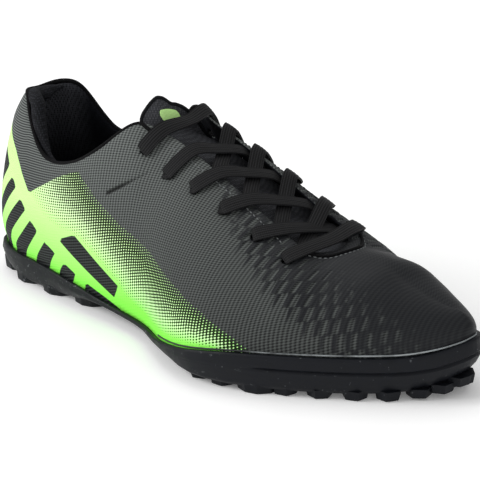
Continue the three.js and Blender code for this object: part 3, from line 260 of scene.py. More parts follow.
class ShoeColours(bpy.types.PropertyGroup):
    knit: colour("Knit", "Threads of the quarter", "676b69")
    knit_gap: colour("Knit gaps", "Between the threads", "1c1e1e")
    fore: colour("Forefoot", "Coated forefoot", "131418")
    light: colour("Print light", "Palest tone of the print", "e6ffd0")
    green: colour("Print", "Print in the middle", "cdfd9f")
    green_low: colour("Print low", "Print along the sole", "8dff55")
    ground: colour("Print ground", "Dark ground below the dots", "18260f")
    lining: colour("Lining", "Collar lining", "08090d")
    tongue: colour("Tongue", "Tongue cloth", "494a4e")
    lace: colour("Lace", "Lace threads", "131314")
    rubber: colour("Rubber", "Sole at the heel", "16191b")
    rubber_toe: colour("Rubber toe", "Sole at the forefoot", "111318")
    cement: colour("Cement", "Line along the sole", "9aa0a2")
    cement_low: colour("Cement low", "Line along the sole where it is thin", "25282a")
    dust: colour("Dust", "Scuffs on the rubber", "707476")
    window: colour("Window", "Ribs of the dark windows in the print", "383c3b")
    window_gap: colour("Window gaps", "Between those ribs", "121414")
    heel_mesh: colour("Heel mesh", "Lining at the back of the heel", "4c4d52")
    binding: colour("Binding", "Rolled edge of the collar", "09090b")
    pad: colour("Collar pad", "Padded band inside the collar", "26272b")
    thread: colour("Thread", "Sewing that shows", "7c7f80")
    # Painted shade: a darker copy of the thread colour, used for the stitches of the inner flap.
    shaded_thread_colour: colour("Thread in painted shade", "Sewing of the inner flap", "1e1f21")
    tape: colour("Tape", "Edge of the tongue", "16171a")
    footbed: colour("Footbed", "Cloth of the footbed", "15161a")


def select_only(piece):
    """Nothing but the piece is selected, and it is active."""
    bpy.ops.object.select_all(action="DESELECT")
    piece.select_set(True)
    bpy.context.view_layer.objects.active = piece


def apply_modifier(piece, kind, **settings):
    """One modifier, added with its settings and applied."""
    select_only(piece)
    modifier = piece.modifiers.new(kind.title(), kind)
    for key, value in settings.items():
        setattr(modifier, key, value)
    bpy.ops.object.modifier_apply(modifier=modifier.name)


def edit(piece):
    """Edit mode with nothing selected."""
    select_only(piece)
    bpy.ops.object.mode_set(mode="EDIT")
    bpy.ops.mesh.select_all(action="DESELECT")


def leave_edit():
    """Back to object mode."""
    bpy.ops.object.mode_set(mode="OBJECT")


def copy_of(node_name, piece_name):
    """A merged copy of a frame solid, in four-sided faces."""
    piece = bpy.data.objects.new(piece_name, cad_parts[node_name].data.copy())
    bpy.context.collection.objects.link(piece)
    piece.data.materials.clear()
    edit(piece)
    bpy.ops.mesh.select_all(action="SELECT")
    bpy.ops.mesh.remove_doubles(threshold=0.02 * MM)
    bpy.ops.mesh.customdata_custom_splitnormals_clear()
    bpy.ops.mesh.tris_convert_to_quads(face_threshold=math.radians(50), shape_threshold=math.radians(70))
    leave_edit()
    return piece


def soften(piece, sharp, crease):
    """A smooth surface whose edges sharper than so many degrees stay crisp."""
    edit(piece)
    bpy.ops.mesh.edges_select_sharp(sharpness=math.radians(sharp))
    bpy.ops.transform.edge_crease(value=crease)
    leave_edit()
    apply_modifier(piece, "SUBSURF", levels=2, render_levels=2)


def corners(piece):
    """Places of a mesh's vertices in millimetres."""
    co = np.zeros(len(piece.data.vertices) * 3)
    piece.data.vertices.foreach_get("co", co)
    return co.reshape(-1, 3) / MM


def set_corners(piece, co):
    """Moves a mesh's vertices to places in millimetres."""
    piece.data.vertices.foreach_set("co", (co * MM).ravel())
    piece.data.update()


def directions(piece):
    """Normals of a mesh's vertices."""
    n = np.zeros(len(piece.data.vertices) * 3)
    piece.data.vertex_normals.foreach_get("vector", n)
    return n.reshape(-1, 3)


def store(piece, name, values):
    """A named number, or a vector, at each vertex, for the piece's material."""
    kind = "FLOAT_VECTOR" if values.ndim == 2 else "FLOAT"
    attribute = piece.data.attributes.new(name, kind, "POINT")
    attribute.data.foreach_set("vector" if values.ndim == 2 else "value",
        np.ascontiguousarray(values, np.float32).ravel())


def smooth_path(points, steps):
    """More points on a smooth line through the given ones."""
    p = np.asarray(points, float)
    q = np.vstack([2 * p[0] - p[1], p, 2 * p[-1] - p[-2]])
    out = []
    for i in range(1, len(q) - 2):
        for t in np.arange(steps) / steps:
            a, b, c, d = q[i - 1], q[i], q[i + 1], q[i + 2]
            out.append(0.5 * (2 * b + (c - a) * t + (2 * a - 5 * b + 4 * c - d) * t**2
                + (3 * b - a - 3 * c + d) * t**3))
    out.append(p[-1])
    return np.array(out)


def tree_of(piece):
    """A search tree of a finished piece, for seating other pieces on it."""
    return BVHTree.FromPolygons([v.co for v in piece.data.vertices],
        [p.vertices for p in piece.data.polygons])


def seated(path, tree, lift):
    """A path moved on to a surface and lifted off it."""
    out = []
    for p in path:
        place, normal, _, _ = tree.find_nearest(Vector(p) * MM)
        out.append(np.array(place + normal * lift * MM) / MM)
    return np.array(out)


def tube(name, path, radius, sides=4, swell=None):
    """A round bead along a path in millimetres, thicker where swell says so."""
    data = bpy.data.curves.new(name, "CURVE")
    data.dimensions = "3D"
    data.bevel_depth = radius
    data.bevel_resolution = sides
    data.use_fill_caps = True
    spline = data.splines.new("POLY")
    spline.points.add(len(path) - 1)
    spline.points.foreach_set("co", np.c_[np.asarray(path) * MM, np.ones(len(path))].ravel())
    if swell is not None:
        spline.points.foreach_set("radius", swell)
    piece = bpy.data.objects.new(name, data)
    bpy.context.collection.objects.link(piece)
    select_only(piece)
    bpy.ops.object.convert(target="MESH")
    piece = bpy.context.object
    piece.name = name
    bpy.ops.object.shade_smooth()
    return piece


def join(pieces, name):
    """Several pieces joined into one."""
    select_only(pieces[0])
    for p in pieces[1:]:
        p.select_set(True)
    if len(pieces) > 1:
        bpy.ops.object.join()
    joined = bpy.context.view_layer.objects.active
    joined.name = name
    return joined


def finish_piece(piece, slot, looks, *nodes):
    """The piece has its materials, rides on the shoe, and stands for its nodes; its slot is not used."""
    for look in looks:
        piece.data.materials.append(look)
    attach(piece, "root")
    if nodes:
        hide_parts(*nodes)


def feed(tree, made, inputs):
    """Gives a node its inputs in order or by name: values, sockets or nodes."""
    for key, value in enumerate(inputs) if isinstance(inputs, list) else inputs.items():
        if isinstance(value, bpy.types.Node):
            # The first output that its settings leave in use.
            value = next(socket for socket in value.outputs if socket.enabled)
        if isinstance(value, bpy.types.NodeSocket):
            tree.links.new(value, made.inputs[key])
        else:
            made.inputs[key].default_value = value


def node(tree, kind, inputs=None, **settings):
    """One shader node with its settings and its inputs."""
    made = tree.nodes.new("ShaderNode" + kind)
    for key, value in settings.items():
        setattr(made, key, value)
    feed(tree, made, inputs or {})
    return made


def material(name, **constants):
    """An empty material with the shader's constant values."""
    made = bpy.data.materials.new(name)
    made.use_nodes = True
    shader = made.node_tree.nodes["Principled BSDF"]
    for key, value in constants.items():
        shader.inputs[key.replace("_", " ")].default_value = value
    return made, made.node_tree, shader


def outline_at(x):
    """Outer and inner edge of the upper in plan, at places along the shoe."""
    along, outer, inner = FEATHER[:, :3].T
    return np.interp(x, along, outer), np.interp(x, along, inner)


# The knit's rows are level round the heel and climb towards the toe further on.
ROW_CLIMB = 0.37
CLIMB_START = 80.0

# Middle of the heel's round plan.
HEEL_X = -110.0
HEEL_Y = 6.5


def chart(co, radius):
    """Way round from the middle of the heel, height, and height that goes on over the instep."""
    x, y, z = co.T
    outer, inner = outline_at(x)
    behind = x < HEEL_X
    angle = np.arctan2(HEEL_X - x, np.abs(y - HEEL_Y))
    around = np.where(behind, radius * (math.pi / 2 - angle), radius * math.pi / 2 + x - HEEL_X)
    rim = 30 + 3.5 * np.sin(np.clip(angle, 0, None))
    inward = np.where(behind, rim - np.hypot(x - HEEL_X, y - HEEL_Y), np.minimum(y - outer, inner - y))
    return around, z, z + 0.8 * np.clip(inward, 0, None)


def line_distance(p, line, closed=False):
    """Distance of points to a broken line, in any number of dimensions."""
    line = np.asarray(line, float)
    ends = np.roll(line, -1, 0) if closed else line[1:]
    best = np.full(len(p), 1e9)
    for a, b in zip(line[: len(ends)], ends):
        d = b - a
        t = np.clip(((p - a) @ d) / (d @ d), 0, 1)
        best = np.minimum(best, np.linalg.norm(p - a - t[:, None] * d, axis=1))
    return best


def inside_distance(p, area):
    """Distance to the edge of a flat area, above zero inside it."""
    area = np.asarray(area, float)
    odd = np.zeros(len(p), bool)
    for a, b in zip(area, np.roll(area, -1, 0)):
        crosses = (a[1] > p[:, 1]) != (b[1] > p[:, 1])
        rise = b[1] - a[1] if b[1] != a[1] else 1e-9
        odd ^= crosses & (p[:, 0] < a[0] + (b[0] - a[0]) * (p[:, 1] - a[1]) / rise)
    return np.where(odd, 1, -1) * line_distance(p, area, True)


def step(low, high, x):
    """0 below low, 1 above high, smooth between."""
    t = np.clip((x - low) / (high - low), 0, 1)
    return t * t * (3 - 2 * t)


def inner_dip(co):
    """Where the collar drops on the inner side, from 0 to 1."""
    return np.exp(-(((co[:, 0] + 103) / 10) ** 2)) * step(16, 26, co[:, 1])


# Lattice of the scales: first scale, step to the next in its row, and step to the next row.
SCALE_ORIGIN = (64.4, 61.5)
SCALE_ACROSS = (4.7, 1.0)
SCALE_DOWN = (7.3, -7.7)


def scales(x, over):
    """How far each point is coated by the dark scales, from 0 on bare knit to 1."""
    px, py = x - SCALE_ORIGIN[0], over - SCALE_ORIGIN[1]
    det = SCALE_ACROSS[0] * SCALE_DOWN[1] - SCALE_ACROSS[1] * SCALE_DOWN[0]
    column = (px * SCALE_DOWN[1] - py * SCALE_DOWN[0]) / det
    row = (SCALE_ACROSS[0] * py - SCALE_ACROSS[1] * px) / det
    in_row = row - np.floor(row)
    ridge = 0.5 + 0.5 * np.cos(2 * math.pi * (column + 1.5 * (in_row - 0.5)))
    ends = step(0.0, 0.12, in_row) * step(0.0, 0.12, 1 - in_row)
    bare = ridge * (0.6 + 0.4 * ends)
    front = column + 0.9 * (in_row - 0.5)
    limit = np.interp(front, [-1.2, -0.4, 0.6, 2.6, 5.0, 7.5], [-0.25, 0.25, 0.5, 0.8, 0.95, 1.2])
    return 1 - step(limit - 0.16, limit + 0.16, bare), column


class SHOE_OT_upper(bpy.types.Operator):
    """Builds the upper: smooth shell, folds, raised scales, print and lining"""

    bl_idname = "shoe.upper"
    bl_label = "Upper"

    def execute(self, context):
        sizes = context.scene.shoe_sizes
        piece = copy_of("upper", "upper_shell")
        apply_modifier(piece, "SUBSURF", levels=2, render_levels=2)
        co, n = corners(piece), directions(piece)
        outward = self.outward(co, n)
        self.refine(piece, co, outward)
        co, n = corners(piece), directions(piece)
        outward = self.outward(co, n)
        around, high, over = chart(co, sizes.heel_radius / MM)
        ahead = around - CLIMB_START
        climb = ROW_CLIMB / 2 * (ahead + np.hypot(ahead, CLIMB_START / 3))
        flat = np.c_[around, high]
        coated, column = scales(co[:, 0], over)
        for start, end, wide, move in SOFT_FOLDS:
            near = line_distance(co, [start, end])
            co += n * (move * np.exp(-((near / wide) ** 2)) * outward)[:, None]
        groove = self.groove(co)
        co -= n * (CREASE_DEPTH * np.exp(-((groove / CREASE_WIDTH) ** 2)) * outward)[:, None]
        heel = step(80, 95, co[:, 2]) * step(60, 15, around)
        co[:, 0] += HEEL_TUCK * heel
        co[:, 2] -= INNER_DROP * inner_dip(co) * step(60, 76, co[:, 2])
        strong = step(-1.5, 0.0, column) * step(9.5, 5.5, column) * step(26, 32, over)
        co += n * (sizes.scale_relief / MM * (coated - 0.5) * strong * outward)[:, None]
        set_corners(piece, co)
        windows = np.max([inside_distance(flat, w) for w in PRINT_WINDOWS], axis=0)
        begin = line_distance(flat, FADE_START)
        finish = line_distance(flat, FADE_END)
        fade = np.where(inside_distance(flat, PRINT_SOLID) > 0, 0, begin / (begin + finish))
        store(piece, "chart", np.c_[around, over - climb, high])
        store(piece, "print_edge", inside_distance(flat, PRINT_FIELD))
        store(piece, "window_edge", windows)
        store(piece, "fade", fade)
        store(piece, "coated", coated)
        store(piece, "toe", step(-0.6, 6.5, column))
        store(piece, "crease", self.groove(co))
        self.line(piece)
        select_only(piece)
        bpy.ops.object.shade_smooth()
        finish_piece(piece, "upper", [knit_material(), lining_material()], "upper")
        return {"FINISHED"}

    def groove(self, co):
        """Distance from the pressed crease, seen from the outer side."""
        line = np.array(CREASE_LINE)[:, [0, 2]]
        return np.where(co[:, 1] < -10,
            line_distance(co[:, [0, 2]], line) + 1.1 * step(-36, -18, co[:, 0]), 99)

    def outward(self, co, n):
        """1 on the outside of the shell, 0 on its inside."""
        outer, inner = outline_at(co[:, 0])
        middle = np.c_[np.clip(co[:, 0], -104, 104), (outer + inner) / 2, np.full(len(co), 34.0)]
        away = co - middle
        away[:, 2] *= 0.35
        away /= np.linalg.norm(away, axis=1)[:, None] + 1e-9
        return step(-0.15, 0.25, (away * n).sum(1))

    def refine(self, piece, co, outward):
        """Smaller faces where the scales and the crease are."""
        chosen = (co[:, 0] > 34) & (co[:, 0] < 112) & (co[:, 2] > 20) & (outward > 0.9)
        self.split(piece, chosen)
        co = corners(piece)
        outward = self.outward(co, directions(piece))
        chosen = (co[:, 0] > 46) & (co[:, 0] < 88) & (co[:, 2] > 28) & (outward > 0.9)
        self.split(piece, chosen)
        for reach in (8, 4):
            co = corners(piece)
            self.split(piece, (line_distance(co, CREASE_LINE) < reach) & (co[:, 1] < -10))

    def split(self, piece, chosen):
        """Each face whose corners are all chosen becomes four."""
        edit(piece)
        bpy.ops.mesh.select_mode(type="FACE")
        leave_edit()
        for face in piece.data.polygons:
            face.select = all(chosen[v] for v in face.vertices)
        bpy.ops.object.mode_set(mode="EDIT")
        bpy.ops.mesh.subdivide(number_cuts=1, smoothness=0.6)
        leave_edit()

    def line(self, piece):
        """The inside of the shell gets the lining."""
        outward = self.outward(corners(piece), directions(piece))
        for face in piece.data.polygons:
            facing = sum(outward[v] for v in face.vertices) / len(face.vertices)
            face.material_index = 1 if facing < 0.5 else 0


def knit_material():
    """Coated polyester knit, printed and pressed: threads with dark gaps, and a smooth film forward."""
    sizes, paint = bpy.context.scene.shoe_sizes, bpy.context.scene.shoe_colours
    made, tree, shader = material("printed polyester knit", Specular_IOR_Level=0.16)
    places = node(tree, "SeparateXYZ",
        [node(tree, "Attribute", attribute_name="chart").outputs["Vector"]])
    marks = {}
    for name in ("print_edge", "window_edge", "fade", "coated", "toe", "crease"):
        marks[name] = node(tree, "Attribute", attribute_name=name).outputs["Fac"]
    around, over, high = places.outputs["X"], places.outputs["Y"], places.outputs["Z"]
    # The knit and the dots share one pitch, coarse enough to show.
    turn = node(tree, "Math", [around, 2 * math.pi * MM / sizes.thread_pitch], operation="MULTIPLY")
    rise = node(tree, "Math", [over, 2 * math.pi * MM / sizes.course_pitch], operation="MULTIPLY")
    thread = node(tree, "Math", [turn], operation="COSINE")
    course = node(tree, "Math", [rise], operation="COSINE")
    both = node(tree, "Math", [thread, course], operation="ADD")
    half = node(tree, "Math", [both, 0.5], operation="MULTIPLY")
    ribs = node(tree, "MapRange", [around, 45, 105], interpolation_type="SMOOTHSTEP")
    weave = node(tree, "Mix", {0: ribs, 2: course, 3: half}, data_type="FLOAT")
    weave_up = node(tree, "MapRange", [weave, -0.75, 0.8])
    mottle = node(tree, "TexNoise", {"Scale": 900.0, "Detail": 3.0})
    bright = node(tree, "Math", [mottle.outputs["Fac"], 0.35, weave_up], operation="MULTIPLY_ADD")
    lit = node(tree, "MapRange", [bright, 0.12, 1.2])
    knit = node(tree, "Mix", {0: lit, 6: (*paint.knit_gap, 1), 7: (*paint.knit, 1)}, data_type="RGBA")
    # Painted light and shade: the knit is painted lighter high up the side and darker low down, and it is
    # also made darker towards the toe.
    low = node(tree, "MapRange", [high, 22, 90, 0.76, 1.22])
    forward = node(tree, "MapRange", [around, 115, 175, 1.08, 0.8])
    painted_light_level = node(tree, "Math", [low, forward], operation="MULTIPLY")
    knit = node(tree, "VectorMath", {0: knit, "Scale": painted_light_level}, operation="SCALE")
    # Dots: whole near the solid print, then open, then small.
    spread = node(tree, "Math", [marks["fade"], 0.55], operation="POWER")
    limit = node(tree, "Math", [spread, 1.9, -1.12], operation="MULTIPLY_ADD")
    ahead = node(tree, "Math", [half, limit], operation="SUBTRACT")
    dots = node(tree, "MapRange", [ahead, -0.04, 0.08])
    core = node(tree, "MapRange", [ahead, 0.05, 0.5])
    band = node(tree, "MapRange", [marks["fade"], 0.03, 0.35])
    pale = node(tree, "Math", [core, band], operation="MULTIPLY")
    height = node(tree, "MapRange", [high, 14, 46])
    green = node(tree, "Mix", {0: height, 6: (*paint.green_low, 1), 7: (*paint.green, 1)},
        data_type="RGBA")
    dot = node(tree, "Mix", {0: pale, 6: green, 7: (*paint.light, 1)}, data_type="RGBA")
    open_ground = node(tree, "MapRange", [marks["fade"], 0.8, 1.05])
    ground = node(tree, "Mix", {0: open_ground, 6: (*paint.ground, 1), 7: knit}, data_type="RGBA")
    printed = node(tree, "Mix", {0: dots, 6: ground, 7: dot}, data_type="RGBA")
    ribbed = node(tree, "MapRange", [course, -0.6, 0.8])
    window = node(tree, "Mix", {0: ribbed, 6: (*paint.window_gap, 1), 7: (*paint.window, 1)},
        data_type="RGBA")
    in_window = node(tree, "MapRange", [marks["window_edge"], -0.2, 0.2])
    printed = node(tree, "Mix", {0: in_window, 6: printed, 7: window}, data_type="RGBA")
    in_print = node(tree, "MapRange", [marks["print_edge"], -0.2, 0.2])
    base = node(tree, "Mix", {0: in_print, 6: knit, 7: printed}, data_type="RGBA")
    # Coated scales: dark film with a little of the weave showing.
    film = node(tree, "VectorMath", {0: knit, "Scale": 0.13}, operation="SCALE")
    film = node(tree, "VectorMath", [film, paint.fore], operation="ADD")
    base = node(tree, "Mix", {0: marks["coated"], 6: base, 7: film}, data_type="RGBA")
    # Painted shade along the pressed crease: the colour is darkened down to 0.12 of itself on its line.
    groove = node(tree, "MapRange", [marks["crease"], 0.3, 1.25])
    shadow = node(tree, "MapRange", [groove, 0, 1, 0.12, 1.0])
    base = node(tree, "VectorMath", {0: base, "Scale": shadow}, operation="SCALE")
    matt = node(tree, "MapRange", [marks["coated"], 0, 1, 0.72, 0.5])
    # Thread relief of a quarter of a millimetre, pressed flatter under the film.
    press = node(tree, "MapRange", [marks["toe"], 0, 1, 1.0, 0.35])
    relief = node(tree, "Math", [bright, press], operation="MULTIPLY")
    relief = node(tree, "Math", [groove, 3.0, relief], operation="MULTIPLY_ADD")
    bump = node(tree, "Bump", {"Strength": 0.55, "Distance": 0.25 * MM, "Height": relief})
    feed(tree, shader, {"Base Color": base, "Roughness": matt, "Normal": bump})
    return made


def lining_material():
    """Black polyester mesh lining: matt, with open rows that catch a little light."""
    paint = bpy.context.scene.shoe_colours
    made, tree, shader = material("black mesh lining", Roughness=0.85, Specular_IOR_Level=0.12)
    places = node(tree, "TexCoord").outputs["Object"]
    cells = node(tree, "TexVoronoi", {"Vector": places, "Scale": 900.0, "Randomness": 0.25})
    open_mesh = node(tree, "MapRange", [cells.outputs["Distance"], 0.1, 0.6])
    # Paler mesh high up at the back of the heel, where the padding rounds: a mask picked by place only.
    split = node(tree, "SeparateXYZ", [places])
    heel = node(tree, "MapRange", [split.outputs["X"], -0.112, -0.122])
    top = node(tree, "MapRange", [split.outputs["Z"], 0.045, 0.08])
    heel_top_mask = node(tree, "Math", [heel, top], operation="MULTIPLY")
    paler = tuple(c * 1.9 for c in paint.lining)
    bright = node(tree, "Mix", {0: heel_top_mask, 6: (*paler, 1), 7: (*paint.heel_mesh, 1)}, data_type="RGBA")
    base = node(tree, "Mix", {0: open_mesh, 6: (*paint.lining, 1), 7: bright}, data_type="RGBA")
    bump = node(tree, "Bump", {"Strength": 0.6, "Distance": 0.3 * MM, "Height": open_mesh})
    feed(tree, shader, {"Base Color": base, "Normal": bump})
    return made


def cloth_material(name, tint, scale, contrast, roughness):
    """Padded or rolled polyester cloth: small round cells of weave with dark gaps."""
    made, tree, shader = material(name, Roughness=roughness, Specular_IOR_Level=0.12)
    places = node(tree, "TexCoord").outputs["Object"]
    cells = node(tree, "TexVoronoi", {"Vector": places, "Scale": scale, "Randomness": 0.2})
    weave = node(tree, "MapRange", [cells.outputs["Distance"], 0.05, 0.55, 1, 0])
    darker = tuple(c * (1 - contrast) for c in tint)
    paler = tuple(min(1, c * (1 + contrast)) for c in tint)
    base = node(tree, "Mix", {0: weave, 6: (*darker, 1), 7: (*paler, 1)}, data_type="RGBA")
    bump = node(tree, "Bump", {"Strength": 0.6, "Distance": 0.3 * MM, "Height": weave})
    feed(tree, shader, {"Base Color": base, "Normal": bump})
    return made


class SHOE_OT_collar(bpy.types.Operator):
    """Rolls and pads the edge of the collar and sews the seams of throat and flaps"""

    bl_idname = "shoe.collar"
    bl_label = "Collar and seams"

    def execute(self, context):
        sizes, paint = context.scene.shoe_sizes, context.scene.shoe_colours
        shell = tree_of(bpy.data.objects["upper_shell"])
        rim = np.array(TOPLINE)
        inward = (-88, 6.8, 0) - rim
        inward[:, 2] = 0
        inward /= np.linalg.norm(inward, axis=1)[:, None]
        rim[:, 0] += HEEL_TUCK * step(80, 95, rim[:, 2]) * step(-88, -118, rim[:, 0])
        rim[:, 2] -= INNER_DROP * inner_dip(rim)
        outer_end = [(-24.0, -8.6, 92.4), (-29.5, -9.8, 95.6)]
        inner_end = [(-29.5, 27.8, 96.8), (-24.0, 26.8, 95.0)]
        path = seated(smooth_path(np.vstack([outer_end, rim + inward * 1.5, inner_end]), 6), shell, 0.0)
        tape = cloth_material("rolled knitted binding", paint.binding, 900.0, 0.5, 0.8)
        padded = 1 + 0.35 * step(-112, -124, path[:, 0])
        roll = tube("collar_binding", path, sizes.binding, swell=padded)
        finish_piece(roll, "upper", [tape])
        round_heel = (rim[:, 0] < -84) & (rim[:, 1] < 19)
        pad = smooth_path(rim[round_heel] + inward[round_heel] * 5.2 - (0, 0, 2.6), 6)
        ends = np.linspace(0, 1, len(pad))
        cushion = tube("collar_pad", pad, PAD_RADIUS * MM, sides=6,
            swell=0.35 + 0.65 * step(0, 0.35, ends) * step(1, 0.8, ends))
        finish_piece(cushion, "upper",
            [cloth_material("padded collar mesh", paint.pad, 900.0, 0.6, 0.85)])
        seam = seated(smooth_path(THROAT_SEAM, 6), shell, 0.25)
        bead = tube("throat_seam", seam, 0.75 * MM)
        finish_piece(bead, "upper", [tape])
        thread = cloth_material("polyester sewing thread", paint.thread, 2400.0, 0.3, 0.6)
        row = seated(smooth_path(np.add(THROAT_SEAM, (1.9, 0, 0)), 6), shell, 0.1)
        sewn = stitches("throat_stitches", row, shell, sizes.stitch)
        finish_piece(sewn, "upper", [thread])
        # Painted shade: the inner flap's stitches take a darker copy of the sewing thread, standing in
        # for the shade that falls on that flap.
        dark = cloth_material("sewing thread in painted shade", paint.shaded_thread_colour, 2400.0, 0.3, 0.7)
        for side, edge in FLAP_EDGES.items():
            outside = (0, -2.4 if side == "outer" else 2.4, 0.6)
            row = seated(smooth_path(np.add(edge, outside), 8), shell, 0.1)
            sewn = stitches("flap_stitches_" + side, row, shell, sizes.stitch)
            finish_piece(sewn, "upper", [thread if side == "outer" else dark])
        return {"FINISHED"}


def stitches(name, path, tree, long):
    """A row of stitches along a path, each a small ball drawn out along it."""
    gaps = np.linalg.norm(np.diff(path, axis=0), axis=1)
    along = np.r_[0, np.cumsum(gaps)]
    made = []
    for s in np.arange(long / MM, along[-1] - long / MM, long / MM * 1.45):
        p = np.array([np.interp(s, along, path[:, k]) for k in range(3)])
        q = np.array([np.interp(s + 0.3, along, path[:, k]) for k in range(3)])
        normal = tree.find_nearest(Vector(p) * MM)[1]
        run = Vector(q - p).normalized()
        side = normal.cross(run).normalized()
        bpy.ops.mesh.primitive_uv_sphere_add(segments=8, ring_count=5, radius=1)
        one = bpy.context.object
        frame = np.array([run, side, run.cross(side)])
        set_corners(one, (corners(one) * (long / 2, 0.3 * MM, 0.28 * MM)) @ frame + p)
        made.append(one)
    row = join(made, name)
    bpy.ops.object.shade_smooth()
    return row


class SHOE_OT_tongue(bpy.types.Operator):
    """Pads the tongue, binds its edge and sews a plain woven tab on it"""

    bl_idname = "shoe.tongue"
    bl_label = "Tongue"

    def execute(self, context):
        sizes, paint = context.scene.shoe_sizes, context.scene.shoe_colours
        piece = copy_of("tongue", "tongue_pad")
        apply_modifier(piece, "SUBSURF", levels=2, render_levels=2)
        co, n = corners(piece), directions(piece)
        sewn = np.exp(-((line_distance(co, TONGUE_EDGE) - 3.2) ** 2) / 0.9)
        co -= n * (0.35 * sewn)[:, None]
        set_corners(piece, co)
        select_only(piece)
        bpy.ops.object.shade_smooth()
        finish_piece(piece, "tongue",
            [cloth_material("padded spacer mesh", paint.tongue, 1000.0, 0.45, 0.8)], "tongue")
        pad = tree_of(piece)
        edge = tube("tongue_binding", seated(smooth_path(TONGUE_EDGE, 6), pad, -0.1), sizes.binding)
        finish_piece(edge, "tongue", [cloth_material("folded edge tape", paint.tape, 1100.0, 0.4, 0.75)])
        tab = self.tab(pad)
        finish_piece(tab, "tongue", [cloth_material("plain woven tab", paint.green, 1500.0, 0.12, 0.6)])
        return {"FINISHED"}

    def tab(self, pad):
        """A small plain tab with round corners, laid on the tongue."""
        bpy.ops.mesh.primitive_grid_add(x_subdivisions=22, y_subdivisions=14, size=2)
        tab = bpy.context.object
        tab.name = "tongue_tab"
        flat = corners(tab) * MM
        u, v = flat[:, 0], flat[:, 1]
        u, v = u * np.sqrt(1 - 0.38 * v**2), v * np.sqrt(1 - 0.38 * u**2)
        across = np.array([0.12, 0.97, -0.2]) * 5.6
        along = np.array([0.62, 0.0, -0.78]) * 3.4
        guess = np.array([-28.6, 4.6, 99.0]) + u[:, None] * across + v[:, None] * along
        set_corners(tab, seated(guess, pad, 0.35))
        apply_modifier(tab, "SOLIDIFY", thickness=0.5 * MM, offset=0)
        apply_modifier(tab, "BEVEL", width=0.15 * MM, segments=2, limit_method="ANGLE")
        bpy.ops.object.shade_smooth()
        return tab


class SHOE_OT_laces(bpy.types.Operator):
    """Runs the flat lace over the tongue and down into the punched holes"""

    bl_idname = "shoe.laces"
    bl_label = "Laces"

    def execute(self, context):
        cloth = lace_material()
        made = {}
        for name, start, end, stops in LACE_RUNS:
            ribbon = self.ribbon(start, end, stops, context.scene.shoe_sizes)
            made.setdefault(name, []).append(ribbon)
        for name, ribbons in made.items():
            finish_piece(join(ribbons, "flat_" + name), "lace", [cloth], name)
        return {"FINISHED"}

    def ribbon(self, start, end, stops, sizes):
        """A flat ribbon along its stops, narrower where it goes into a hole."""
        stops, wide = list(stops), [1.0] * len(stops)
        if start is not None:
            stops.insert(0, self.dip(LACE_HOLES[start]))
            wide.insert(0, 0.5)
        stops.append(self.dip(LACE_HOLES[end]))
        wide.append(0.5)
        steps = 9
        path = smooth_path(np.array([s[:3] for s in stops]), steps)
        face = smooth_path(np.array([s[3:] for s in stops]), steps)
        spread = smooth_path(np.array(wide)[:, None], steps)[:, 0]
        face /= np.linalg.norm(face, axis=1)[:, None]
        ahead = np.gradient(path, axis=0)
        ahead /= np.linalg.norm(ahead, axis=1)[:, None]
        face -= ahead * (face * ahead).sum(1)[:, None]
        face /= np.linalg.norm(face, axis=1)[:, None]
        side = np.cross(ahead, face)
        bpy.ops.mesh.primitive_grid_add(x_subdivisions=len(path) - 1, y_subdivisions=12, size=2)
        piece = bpy.context.object
        flat = corners(piece) * MM
        i = np.rint((flat[:, 0] + 1) / 2 * (len(path) - 1)).astype(int)
        v = flat[:, 1]
        half = sizes.lace_width / MM / 2
        crown = 0.28 * (1 - v**2) + 0.09 * np.cos(v * math.pi * 4)
        co = path[i] + side[i] * (v * half * spread[i])[:, None] + face[i] * (crown * 0.9)[:, None]
        set_corners(piece, co)
        along = np.r_[0, np.cumsum(np.linalg.norm(np.diff(path, axis=0), axis=1))]
        store(piece, "weave", np.c_[along[i], v * half, np.zeros(len(v))])
        apply_modifier(piece, "SOLIDIFY", thickness=sizes.lace_gauge * 0.8, offset=0)
        apply_modifier(piece, "BEVEL", width=0.3 * MM, segments=2, limit_method="ANGLE")
        bpy.ops.object.shade_smooth()
        return piece

    def dip(self, hole):
        """A stop inside the hole, below the surface."""
        place, facing = np.array(hole[:3]), np.array(hole[3:])
        return np.r_[place - facing * LACE_DIP, facing]


def lace_material():
    """Flat woven polyester lace: lengthwise ribs crossed by fine picks, with a dull sheen."""
    paint = bpy.context.scene.shoe_colours
    made, tree, shader = material("flat woven polyester lace", Roughness=0.6, Specular_IOR_Level=0.14)
    places = node(tree, "SeparateXYZ",
        [node(tree, "Attribute", attribute_name="weave").outputs["Vector"]])
    # Ribs 1.2 mm apart, and picks drawn at 0.9 mm so that they show.
    ribs = node(tree, "Math", [places.outputs["Y"], 2 * math.pi / 1.2], operation="MULTIPLY")
    picks = node(tree, "Math", [places.outputs["X"], 2 * math.pi / 0.9], operation="MULTIPLY")
    rib = node(tree, "Math", [ribs], operation="COSINE")
    pick = node(tree, "Math", [picks], operation="COSINE")
    small = node(tree, "Math", [pick, 0.45, rib], operation="MULTIPLY_ADD")
    up = node(tree, "MapRange", [small, -1.1, 1.3])
    darker = tuple(c * 0.3 for c in paint.lace)
    paler = tuple(c * 2.6 for c in paint.lace)
    base = node(tree, "Mix", {0: up, 6: (*darker, 1), 7: (*paler, 1)}, data_type="RGBA")
    bump = node(tree, "Bump", {"Strength": 0.7, "Distance": 0.3 * MM, "Height": up})
    feed(tree, shader, {"Base Color": base, "Normal": bump})
    return made


